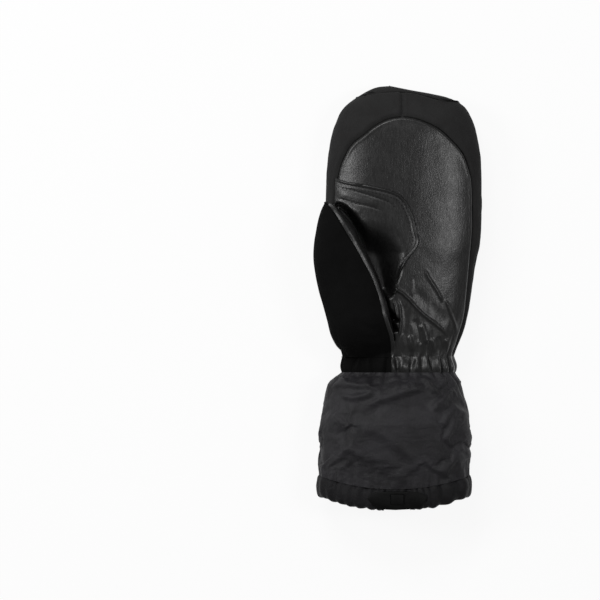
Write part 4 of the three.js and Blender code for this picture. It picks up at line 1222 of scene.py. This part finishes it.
# The patch's two sewn grooves and the quilting beside them, given as the palm's folds are.
PATCH_FOLDS = [
    ([(335, 187), (340, 188.6), (355, 192), (376.5, 198.6), (389, 203.7), (396, 210)], -0.45, 0.8, 0),
    ([(335, 198.6), (340, 199.6), (355, 204), (371, 207.6), (383, 212)], -0.45, 0.8, 0),
    ([(335, 193), (345, 195.4), (357, 198.6), (370, 202.6), (380, 206)], 0.4, 2.6, 0),
    ([(340, 206), (352, 210), (362, 214)], 0.3, 2.2, 0),
]


def make_patch():
    top, bottom = (smooth_curve(on_plan(edge), 84) for edge in (PATCH_TOP, PATCH_BOTTOM))
    left, right = (smooth_curve(on_plan(edge), 110) for edge in (PATCH_LEFT, PATCH_RIGHT))
    places = even_patch(bottom, right, top, left)
    points = lifted(places)
    points[..., 2] += PATCH_LEATHER + SEWN_GAP
    border = np.vstack([top, right[::-1], bottom[::-1]])
    edge = raised(border, PATCH_LEATHER + SEWN_GAP)
    flat = points.reshape(-1, 3)
    away = space_distance(edge[::2], flat)
    shape = 0.75 * np.exp(-(((away - 1.1 * MM) / (0.9 * MM)) ** 2))
    shape = shape - 0.35 * np.exp(-(((away - 3.0 * MM) / (0.9 * MM)) ** 2))
    shape = shape - 0.9 * np.exp(-((away / (0.5 * MM)) ** 2))
    lift = shape * MM + folds(PATCH_FOLDS, flat[:, :2])
    points[..., 2] += lift.reshape(points.shape[:2])
    patch = grid_piece("palm_patch_skin", points)
    open_thumb_hole(patch)
    thicken(patch, PATCH_LEATHER)
    finished(patch, "hand", "patch", ["palm_patch"])
    rim = np.vstack([top, right[::-1]])
    along = np.gradient(rim, axis=0)
    inward = np.stack([along[:, 1], -along[:, 0]], 1) / np.linalg.norm(along, axis=1, keepdims=True)
    rows = [rim[4:-8] + inward[4:-8] * offset * MM for offset in (2.9, 5.6)]
    sewn_lines = [*(line for line, *_ in PATCH_FOLDS[:2]), CROTCH_STITCHES]
    rows += [smooth_curve(on_plan(line), 60) for line in sewn_lines]
    stitch_rows("patch_stitches", patch, rows, "hand")


def bag(plan_top, plan_base, rows, columns, depth):
    """Rings of a bag: across the top from left to right, and back under it."""
    f = -np.cos(np.linspace(0, np.pi, columns))
    k, over = np.meshgrid(rows, f, indexing="ij")
    top = plan_top(k.ravel(), over.ravel(), depth).reshape(*k.shape, 3)
    base = plan_base(k.ravel(), over.ravel(), depth).reshape(*k.shape, 3)[:, ::-1]
    return np.concatenate([top, base[:, 1:]], axis=1)


HIDDEN_ROWS = 1 - (1 - np.linspace(0.012, 1, 70)) ** 1.6
HIDDEN_COLUMNS = 44


def hidden_layer(name, node, face, depth, thickness, finish, hole=True):
    """A layer under the hand's shell that follows its face at a depth."""
    f = -np.cos(np.linspace(0, np.pi, HIDDEN_COLUMNS))
    if face is hand_base:
        f = f[::-1]
    k, over = np.meshgrid(HIDDEN_ROWS, f, indexing="ij")
    points = face(k.ravel(), over.ravel(), depth).reshape(*k.shape, 3)
    layer = grid_piece(name, points)
    weld(layer)
    if hole:
        open_thumb_hole(layer)
    thicken(layer, thickness)
    finished(layer, "hand", finish, [node])


# Depths of the hidden layers below the outer face.
INSERT_DEPTH = 4.6 * MM
PADDING_DEPTH = 5.2 * MM
PALM_LINING_DEPTH = 7.6 * MM
BACK_LINING_DEPTH = 8.8 * MM


def make_hidden_layers():
    rings = bag(hand_top, hand_base, HIDDEN_ROWS, HIDDEN_COLUMNS, INSERT_DEPTH)
    insert = grid_piece("waterproof_insert_bag", rings)
    weld(insert)
    open_thumb_hole(insert, lowest=SIDE_SEAM)
    thicken(insert, FILM)
    finished(insert, "hand", "film", ["waterproof_insert"])
    palm_wadding = PALM_LINING_DEPTH - PADDING_DEPTH - SEWN_GAP
    back_wadding = BACK_LINING_DEPTH - PADDING_DEPTH - SEWN_GAP
    for name, node, face, depth, thickness, finish, fill in (
        ("palm_wadding", "palm_insulation", hand_top, PADDING_DEPTH, palm_wadding, "wadding", 0.6),
        ("back_wadding", "back_insulation", hand_base, PADDING_DEPTH, back_wadding, "wadding", 0.6),
        ("palm_fleece", "palm_lining", hand_top, PALM_LINING_DEPTH, FLEECE, "fleece", None),
        ("back_fleece", "back_lining", hand_base, BACK_LINING_DEPTH, FLEECE, "fleece", None),
    ):
        hidden_layer(name, node, face, depth, thickness, finish, hole=face is hand_top)


THUMB_ROWS = 1 - (1 - np.linspace(0, 1, 170)) ** 1.5
# Two places along the thumb's root, from near the wrist's seam to near the thumb's pivot; they are passed
# on with the thumb's pieces but nothing reads them.
ROOT_START = (THUMB_PIVOT[0], WRIST_Y + 2 * MM, 50 * MM)
ROOT_END = (THUMB_PIVOT[0], THUMB_PIVOT[1] + 4 * MM, 50 * MM)


def round_thumb(k, turn, depth=0.0):
    """Points round the thumb: over the top for turns above 0, and under it below."""
    f = np.cos(turn)
    over = thumb_top(k.ravel(), f.ravel(), depth)
    under = thumb_base(k.ravel(), f.ravel(), depth)
    return np.where((turn.ravel() >= 0)[:, None], over, under).reshape(*k.shape, 3)


# Folds of the thumb's upper face, given as the palm's are.
THUMB_FOLDS = [
    ([(345, 262), (352, 280), (360, 296), (366, 312)], 0.7, 4.5, 0.3),
    ([(334, 286), (342, 300), (350, 316), (356, 330)], 0.6, 4.0, 0.2),
    ([(352, 318), (364, 326), (378, 331)], -0.8, 3.0, 0),
    ([(348, 336), (362, 341), (384, 343)], 0.6, 3.0, 0),
]


def thumb_unevenness(points):
    """Folds and slow unevenness, which leave the thumb's seams and its tip as they are."""
    flat = points.reshape(-1, 3)
    uneven = soft_noise(flat, 22 * MM, 12) * 0.8 + soft_noise(flat, 8 * MM, 13) * 0.22
    lift = folds(THUMB_FOLDS, flat[:, :2]) * (flat[:, 2] > THUMB_SEAM_HEIGHT)
    lift = (uneven * MM + lift) * calm(flat[:, 1])
    rows, columns = points.shape[:2]
    across = np.linspace(0, 1, columns)
    held = np.minimum(1, np.minimum(across, 1 - across) / 0.1)[None, :, None]
    along = np.minimum(1, (1 - THUMB_ROWS) / 0.02)[:, None, None]
    return points + grid_normals(points) * lift.reshape(rows, columns, 1) * held * along


def make_thumb():
    seam = smooth_curve(on_plan(THUMB_SEAM), 700)
    seam_k, seam_f = thumb_plan.locate(seam)
    order = np.argsort(seam_k)
    seam_turn = np.arccos(np.interp(THUMB_ROWS, seam_k[order], seam_f[order]))
    line = round_thumb(THUMB_ROWS[:, None], seam_turn[:, None])[:, 0]
    outer_line = round_thumb(THUMB_ROWS[:, None], np.full((len(THUMB_ROWS), 1), np.pi))[:, 0]

    def panel(name, turns):
        points = round_thumb(np.repeat(THUMB_ROWS[:, None], turns.shape[1], 1), turns)
        points = sewn(points, line[::2], depth=1.2 * MM, width=1.3 * MM, rim=0.5 * MM)
        points = sewn(points, outer_line[::2], depth=0.9 * MM, width=1.4 * MM)
        piece = grid_piece(name, gathered(thumb_unevenness(points)))
        weld(piece)
        return piece

    share = np.linspace(0, 1, 84)[None, :]
    cloth = panel("thumb_back_cloth_skin", mix(np.pi, seam_turn[:, None], share))
    thicken(cloth, CLOTH)
    blended = ("hand", "thumb", ROOT_START, ROOT_END)
    finished(cloth, blended, "thumb_cloth", ["thumb_back_cloth"])
    share = np.linspace(0, 1, 110)[None, :]
    hide = panel("thumb_front_leather_skin", mix(seam_turn[:, None], -np.pi, share))
    open_thumb_hole(hide, highest=THUMB_SEAM_HEIGHT)
    thicken(hide, LEATHER)
    finished(hide, blended, "thumb_leather", ["thumb_front_leather"])
    make_thumb_layers()


def make_thumb_layers():
    middle = thumb_own(thumb_plan.place(THUMB_ROWS, np.zeros(len(THUMB_ROWS))))[:, 1]
    rows = np.append(THUMB_ROWS[middle > THUMB_LAYER_ROOT][::3], 1.0)
    tip = thumb_plan.place(np.ones(1), np.zeros(1))[0]
    inward = (THUMB_PIVOT - tip) / np.linalg.norm(THUMB_PIVOT - tip)

    def short_of_tip(points, depth):
        near = smoothstep(thumb_own(points[:, :2])[:, 1], 10 * MM, THUMB_REACH)
        shift = 1.6 * depth * near[:, None] * inward
        return np.column_stack([points[:, :2] + shift, points[:, 2]])

    def layer(name, node, depth, thickness, finish, fill=None):
        rings = bag(
            lambda k, f, d: short_of_tip(thumb_top(k, f, d, root=False), d),
            lambda k, f, d: short_of_tip(thumb_base(k, f, d, root=False), d),
            rows, 30, depth,
        )
        made = grid_piece(name, rings)
        weld(made)
        open_thumb_hole(made, highest=THUMB_SEAM_HEIGHT)
        thicken(made, thickness)
        finished(made, "thumb", finish, [node])

    layer("thumb_insert_bag", "thumb_waterproof_insert", 2.6 * MM, FILM, "film")
    layer("thumb_wadding", "thumb_insulation", 3.3 * MM, 2.4 * MM, "wadding", 0.6)
    layer("thumb_fleece", "thumb_lining", 6.0 * MM, FLEECE, "fleece")


WRIST_BLEND = ("hand", "gauntlet", (0, WRIST_Y, 22 * MM), (0, GAUNTLET_Y, 22 * MM))


def gather_points(k, angle):
    """Points of the gathered wrist, from the hand's edge at k 0 to the gauntlet's at 1."""
    x, z, across = tube(angle, WRIST_HALF, WRIST_HEIGHT, WRIST_CENTRE, 0.0)
    palm = SIDE_SEAM + (WRIST_HEIGHT - SIDE_SEAM) * arch(across, PALM_ROUNDNESS)
    back = SIDE_SEAM - SIDE_SEAM * np.minimum(1, BACK_FLAT * arch(across, BACK_ROUNDNESS))
    hand_z = np.where(np.sin(angle) >= 0, palm, back)
    _, tube_z, _ = tube(angle, WRIST_HALF, WRIST_HEIGHT, WRIST_CENTRE, GAUNTLET_FLOOR)
    y = mix(WRIST_Y, GAUNTLET_Y, k)
    z = mix(hand_z, tube_z, smoothstep(k, 0.1, 1.0))
    tucked = 0.2 * MM * smoothstep(-k, -0.08, 0.0)
    return np.stack([x * (1 - tucked / WRIST_HALF), y, z - tucked * np.sin(angle)], 1)


def ring_grid(function, rows, angles, *more):
    """Rows of points from a function of a place along and an angle round."""
    k, angle = np.meshgrid(rows, angles, indexing="ij")
    return function(k.ravel(), angle.ravel(), *more).reshape(*k.shape, 3)


def make_wrist():
    seam_x = (391 - PLAN_ORIGIN[0]) * PLAN_UNIT
    angles = np.linspace(0, np.pi, 2001)
    x, _, _ = tube(angles, WRIST_HALF, WRIST_HEIGHT, WRIST_CENTRE, 0.0)
    seam_angle = np.interp(-seam_x, -x, angles)
    rows = np.linspace(-0.14, 1, 28)

    def strip(name, start, end, columns):
        points = ring_grid(gather_points, rows, np.linspace(start, end, columns))
        points = gathered(points[::-1])
        points[..., 2] = np.maximum(points[..., 2], 0)
        return grid_piece(name, points[:, ::-1])

    hide = strip("wrist_gather_leather", 0, seam_angle, 260)
    thicken(hide, CLOTH)
    finished(hide, WRIST_BLEND, "palm", ["wrist_gather_palm"])
    cloth = strip("wrist_gather_cloth", seam_angle, 2 * np.pi, 560)
    thicken(cloth, CLOTH)
    finished(cloth, WRIST_BLEND, "thumb_cloth", ["wrist_gather_back"])

    for name, node, rows, depth, thickness, finish in (
        ("wrist_elastic_band", "wrist_elastic", (0.2, 0.8, 8), 5.2 * MM, 1.2 * MM, "elastic"),
        ("wrist_fleece", "wrist_lining", (0, 1, 14), 6.8 * MM, FLEECE, "fleece"),
    ):
        points = ring_grid(wrist_ring, np.linspace(*rows), np.linspace(0, 2 * np.pi, 161), depth)
        ring = grid_piece(name, points[::-1, ::-1], around=True)
        thicken(ring, thickness)
        finished(ring, WRIST_BLEND, finish, [node])


def wrist_ring(k, angle, depth):
    """Points round the wrist at a depth, from the hand's edge at k 0 to the gauntlet's at 1."""
    x, z, _ = tube(angle, WRIST_HALF, WRIST_HEIGHT, WRIST_CENTRE, 0.0, depth)
    return np.stack([x, mix(WRIST_Y, GAUNTLET_Y, k), z], 1)


# Folds of the gauntlet's palm side, as the palm's are given.
GAUNTLET_FOLDS = [
    ([(329, 386), (346.4, 384.3), (358.6, 386.1), (381.6, 389.8)], 1.4, 2.6, 0.6),
    ([(340, 396), (357.4, 397.6), (367.1, 395.2), (378, 391)], 1.2, 2.6, 0.6),
    ([(365, 407), (378, 401.3), (387.7, 398.9), (397.4, 395.2), (405.9, 392.8), (414.4, 390.4),
      (428, 387)], 1.3, 2.8, 0.8),
    ([(452, 385), (449.6, 387.9), (441.1, 397.6), (433.9, 403.7), (432, 413)], 1.5, 3.0, 0.9),
    ([(455, 402), (449, 411), (443.6, 418), (440, 426)], 1.2, 2.8, 0.7),
    ([(458, 404), (453, 418), (449.6, 428), (442, 442)], 1.0, 3.0, 0.6),
    ([(464, 442), (456, 453), (450, 460), (436, 474)], 1.2, 4.0, 0.7),
    ([(332, 412), (339, 420), (346.4, 429)], 0.9, 3.5, 0.5),
    ([(335, 442), (344, 448), (352.5, 450), (363, 458)], 0.9, 3.5, 0.5),
    ([(360, 428), (370, 430), (378, 431.6), (392.6, 442.6), (407.1, 453.5), (416, 462)], 0.9, 4.5, 0.6),
    ([(336, 375), (340, 379), (349, 382)], 1.1, 2.0, 0),
    ([(421, 374), (427, 384), (433.5, 394)], 1.2, 2.4, 0.4),
    ([(395, 375), (398, 382), (396, 391)], 0.9, 2.4, 0),
    ([(410, 375), (409, 383), (405, 390)], 0.8, 2.4, 0),
    ([(376, 374), (373, 381), (366, 388)], 0.9, 2.4, 0),
    ([(445, 374), (441, 382), (436, 388)], 1.0, 2.4, 0),
    ([(388, 404), (402, 408), (420, 404), (431, 399)], -0.8, 5.0, 0),
    ([(350, 410), (362, 414), (380, 412)], -0.7, 5.0, 0),
]
GAUNTLET_COLUMNS, GAUNTLET_ROWS = 321, 113
GAUNTLET_FOLD_GAIN = 1.5


def hem_gathers(around):
    """The wave of the hem's uneven gathers, by the angle round the mouth."""
    return np.sin(around * 43 + 2 * np.sin(around * 7))


def gauntlet_form():
    """The gauntlet's outer face as a tube of cloth, from the wrist seam to the hem's."""
    rows = np.linspace(0, 1, GAUNTLET_ROWS)
    points = ring_grid(gauntlet_points, rows, np.linspace(0, 2 * np.pi, GAUNTLET_COLUMNS))
    return points[::-1, ::-1]


def gauntlet_details(points):
    """Folds, side seams, the pull of the gathers and the hem's puckers."""
    flat = points.reshape(-1, 3)
    over = smoothstep(flat[:, 2], 18 * MM, 32 * MM)
    lift = folds(GAUNTLET_FOLDS, flat[:, :2]) * over * GAUNTLET_FOLD_GAIN
    uneven = soft_noise(flat, 15 * MM, 21) * 0.45 + soft_noise(flat, 6 * MM, 22) * 0.15
    to_hem = flat[:, 1] - hem_edge((flat[:, 0] - GAUNTLET_CENTRE) / GAUNTLET_HALF) - HEM_LENGTH
    around = np.arctan2(points[..., 2] - MOUTH_HEIGHT, points[..., 0] - GAUNTLET_CENTRE)
    around = np.unwrap(around, axis=1).ravel()
    pucker = hem_gathers(around) * np.exp(-np.abs(to_hem) / (7 * MM)) * 0.6
    lift = (lift + (uneven + pucker) * MM) * calm(flat[:, 1])
    points = points + grid_normals(points) * lift.reshape(*points.shape[:2], 1)
    points = gathered(points)
    points = billowed(points, slack=0.03, pressure=3.0, most=3.0 * MM, inward=1.2 * MM)
    return sewn(points, side_line(1), side_line(-1), depth=1.0 * MM, width=1.5 * MM)


def side_line(side):
    """The gauntlet's seam on one side, right for 1 and left for -1."""
    rows = np.linspace(0, 1, 40)
    return gauntlet_points(rows, np.full(40, 0.0 if side > 0 else np.pi))


def make_gauntlet():
    points = gauntlet_details(gauntlet_form())
    points[..., 2] = np.maximum(points[..., 2], 0.2 * MM)
    half = GAUNTLET_COLUMNS // 2
    for name, node, columns in (
        ("gauntlet_back_skin", "gauntlet_back_shell", slice(0, half + 1)),
        ("gauntlet_palm_skin", "gauntlet_palm_shell", slice(half, None)),
    ):
        shell = grid_piece(name, points[:, columns])
        thicken(shell, CLOTH)
        finished(shell, "gauntlet", "nylon", [node])
    sleeve("gauntlet_wadding", "gauntlet_insulation", 3.8 * MM, 1.2 * MM, "wadding", end=0.93)
    sleeve("gauntlet_lining_sleeve", "gauntlet_lining", 5.4 * MM, GAUNTLET_LINING, "lining")


def sleeve(name, node, depth, thickness, finish, end=1.0):
    """A layer inside the gauntlet, deeper near the wrist, up to a share of its length."""
    rows, angles = np.linspace(0, end, 50), np.linspace(0, 2 * np.pi, 181)
    deeper = 3.4 * MM * (1 - smoothstep(rows, 0, 0.22))
    points = np.stack([
        gauntlet_points(np.full(len(angles), k), angles, depth + more)
        for k, more in zip(rows, deeper)
    ])[::-1, ::-1]
    if finish == "lining":
        flat = points.reshape(-1, 3)
        soft = (soft_noise(flat, 17 * MM, 31) * 0.8 + soft_noise(flat, 7 * MM, 32) * 0.3) * MM
        points = points - grid_normals(points) * np.abs(soft).reshape(*points.shape[:2], 1)
    points[:, -1] = points[:, 0]
    made = grid_piece(name, points, around=True)
    thicken(made, thickness)
    finished(made, "gauntlet", finish, [node])


def hem_ring(turn, angle):
    """Points round the hem's padded section, which is a rounded box, and round the mouth."""
    across = np.sign(np.cos(turn)) * np.abs(np.cos(turn)) ** 0.5
    through = np.sign(np.sin(turn)) * np.abs(np.sin(turn)) ** 0.5
    depth = HEM_THICKNESS / 2 * (1 - through)
    k = 0.5 - 0.5 * across
    return hem_points(k, angle, depth)


def make_hem():
    turns = np.linspace(0, 2 * np.pi, 57)
    points = ring_grid(hem_ring, turns, np.linspace(0, 2 * np.pi, 421))
    flat = points.reshape(-1, 3)
    around = np.arctan2(flat[:, 2] - MOUTH_HEIGHT, flat[:, 0] - GAUNTLET_CENTRE)
    ruffle = hem_gathers(around) * 0.5 + np.sin(around * 29 + 1.0) * 0.3
    uneven = soft_noise(flat, 12 * MM, 41) * 0.8 + ruffle
    points = points + grid_normals(points) * (uneven * MM).reshape(*points.shape[:2], 1)
    points[:, -1], points[-1] = points[:, 0], points[0]
    points[..., 2] = np.maximum(points[..., 2], 0)
    hem = grid_piece("hem_band_skin", points[::-1], around=True)
    thicken(hem, 0.8 * MM)
    cut_lock_window(hem)
    # The hem band takes the darker copy of the nylon, which is painted shade.
    finished(hem, "gauntlet", "hem", ["hem_band"])


def cut_lock_window(hem):
    """Opens the hem round the cord lock, out to its edge."""
    low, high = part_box("lock_housing")
    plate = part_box("lock_backplate")
    half = (plate[1].x - plate[0].x) / 2 + 4.5 * MM + 2 * SEWN_GAP
    middle = (plate[1].x + plate[0].x) / 2
    bpy.ops.object.select_all(action="DESELECT")
    bpy.ops.mesh.primitive_cube_add(size=1)
    cutter = bpy.context.object
    cutter.scale = (2 * half, high.y + SEWN_GAP - low.y + 20 * MM, 40 * MM)
    cutter.location = (middle, (high.y + SEWN_GAP + low.y - 20 * MM) / 2, high.z)
    bpy.ops.object.transform_apply(location=True, scale=True)
    cut = hem.modifiers.new("window", "BOOLEAN")
    cut.operation, cut.object, cut.solver = "DIFFERENCE", cutter, "EXACT"
    apply(hem, cut)
    bpy.data.objects.remove(cutter)


def make_drawcord():
    share = 1 - CORD_TO_EDGE / HEM_LENGTH
    angles = np.linspace(0, 2 * np.pi, 361)[:-1]
    middle = hem_points(np.full(360, share), angles, HEM_THICKNESS / 2)
    along = np.roll(middle, -1, axis=0) - np.roll(middle, 1, axis=0)
    along = along / np.linalg.norm(along, axis=1, keepdims=True)
    side = np.cross([0, 1, 0], along)
    side = side / np.linalg.norm(side, axis=1, keepdims=True)
    up = np.cross(along, side)
    turn = np.linspace(0, 2 * np.pi, 13)[:, None, None]
    points = middle + CORD_DIAMETER / 2 * (side * np.cos(turn) + up * np.sin(turn))
    points = np.concatenate([points, points[:, :1]], axis=1)
    cord = grid_piece("hem_drawcord_loop", points, around=True)
    finished(cord, "gauntlet", "elastic", ["hem_drawcord"])


def rounded_copy(node, name, body, edge):
    """A copy of a moulded piece with its edges rounded over."""
    source = frame["nodes"][node]
    copy = source.copy()
    copy.data = source.data.copy()
    copy.name = copy.data.name = name
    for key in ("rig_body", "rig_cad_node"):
        if key in copy:
            del copy[key]
    copy.parent = None
    bpy.context.scene.collection.objects.link(copy)
    weld(copy)
    reworked(copy, bpy.ops.mesh.dissolve_limited, angle_limit=math.radians(1))
    soft = copy.modifiers.new("edges", "BEVEL")
    soft.width, soft.segments, soft.limit_method = edge, 2, "ANGLE"
    soft.angle_limit = math.radians(35)
    apply(copy, soft)
    finished(copy, body, "plastic", [node], angle=40)


def make_lock():
    rounded_copy("lock_housing", "cord_lock_housing", "gauntlet", 0.3 * MM)
    rounded_copy("lock_backplate", "cord_lock_backplate", "gauntlet", 0.15 * MM)
    rounded_copy("lock_button", "cord_lock_button", "button", 0.3 * MM)
    spring = frame["nodes"]["lock_spring"]
    spring.data.materials.clear()
    spring.data.materials.append(FINISHES["steel"])


FLOOR_SIZE = 14
ROOM_LIGHT = 0.24
CAMERA_HEIGHT = 3.0
MIDDLE_HEIGHT = 0.025
SENSOR = 36


def make_stage():
    """A white floor, soft lamps from both sides and a camera straight above the sheet's middle."""
    bpy.ops.object.select_all(action="DESELECT")
    bpy.ops.mesh.primitive_plane_add(size=FLOOR_SIZE, location=(0, 0, -0.0005))
    floor = bpy.context.object
    floor.name = "floor"
    bpy.ops.object.transform_apply(location=True)
    paper = bpy.data.materials.new("paper")
    paper.use_nodes = True
    tree = paper.node_tree
    tree.nodes.remove(tree.nodes["Principled BSDF"])
    sheet = tree.nodes.new("ShaderNodeBsdfDiffuse")
    sheet.inputs["Color"].default_value = (0.86, 0.86, 0.86, 1)
    glow = tree.nodes.new("ShaderNodeEmission")
    blend = tree.nodes.new("ShaderNodeMixShader")
    tree.links.new(seen_directly(tree, 0.9), blend.inputs[0])
    tree.links.new(sheet.outputs[0], blend.inputs[1])
    tree.links.new(glow.outputs[0], blend.inputs[2])
    tree.links.new(blend.outputs[0], tree.nodes["Material Output"].inputs["Surface"])
    floor.data.materials.append(paper)

    world = bpy.data.worlds.new("studio")
    bpy.context.scene.world = world
    world.use_nodes = True
    room = world.node_tree.nodes["Background"]
    room.inputs["Color"].default_value = (1, 1, 1, 1)
    room.inputs["Strength"].default_value = ROOM_LIGHT

    lamp("left_softbox", (-1.42, 0.3, 1.26), 0.5, 0.7, 13)
    lamp("right_softbox", (0.96, 0.05, 1.64), 0.32, 0.6, 8)
    lamp("top_softbox", (-0.5, 1.2, 1.4), 0.8, 0.5, 14)

    bpy.ops.object.camera_add()
    camera = bpy.context.object
    camera.name = "camera"
    middle = on_plan([(SHEET / 2, SHEET / 2)])[0]
    camera.location = (middle[0], middle[1], CAMERA_HEIGHT)
    camera.rotation_euler = (0, 0, 0)
    camera.data.sensor_width = SENSOR
    camera.data.lens = SENSOR * (CAMERA_HEIGHT - MIDDLE_HEIGHT) / (SHEET * PLAN_UNIT)
    camera.data.clip_end = 20
    bpy.context.scene.camera = camera
    bpy.context.scene.view_settings.view_transform = "Standard"


def seen_directly(tree, share):
    """The share of white in what the camera, gloss and glass see of the floor."""
    path = tree.nodes.new("ShaderNodeLightPath")
    total = path.outputs["Is Camera Ray"]
    for ray in ("Is Glossy Ray", "Is Transmission Ray"):
        added = tree.nodes.new("ShaderNodeMath")
        added.operation = "ADD"
        added.use_clamp = True
        tree.links.new(total, added.inputs[0])
        tree.links.new(path.outputs[ray], added.inputs[1])
        total = added.outputs[0]
    scaled = tree.nodes.new("ShaderNodeMath")
    scaled.operation = "MULTIPLY"
    scaled.inputs[1].default_value = share
    tree.links.new(total, scaled.inputs[0])
    return scaled.outputs[0]


def lamp(name, place, width, length, power):
    bpy.ops.object.light_add(type="AREA", location=place)
    made = bpy.context.object
    made.name = name
    made.data.shape = "RECTANGLE"
    made.data.size, made.data.size_y = width, length
    made.data.energy = power
    aim = Vector((GAUNTLET_CENTRE, -60 * MM, 0)) - Vector(place)
    made.rotation_euler = aim.to_track_quat("-Z", "Y").to_euler()


make_palm()
make_gussets()
make_back()
make_patch()
make_hidden_layers()
make_thumb()
make_wrist()
make_gauntlet()
make_hem()
make_drawcord()
make_lock()
make_stage()
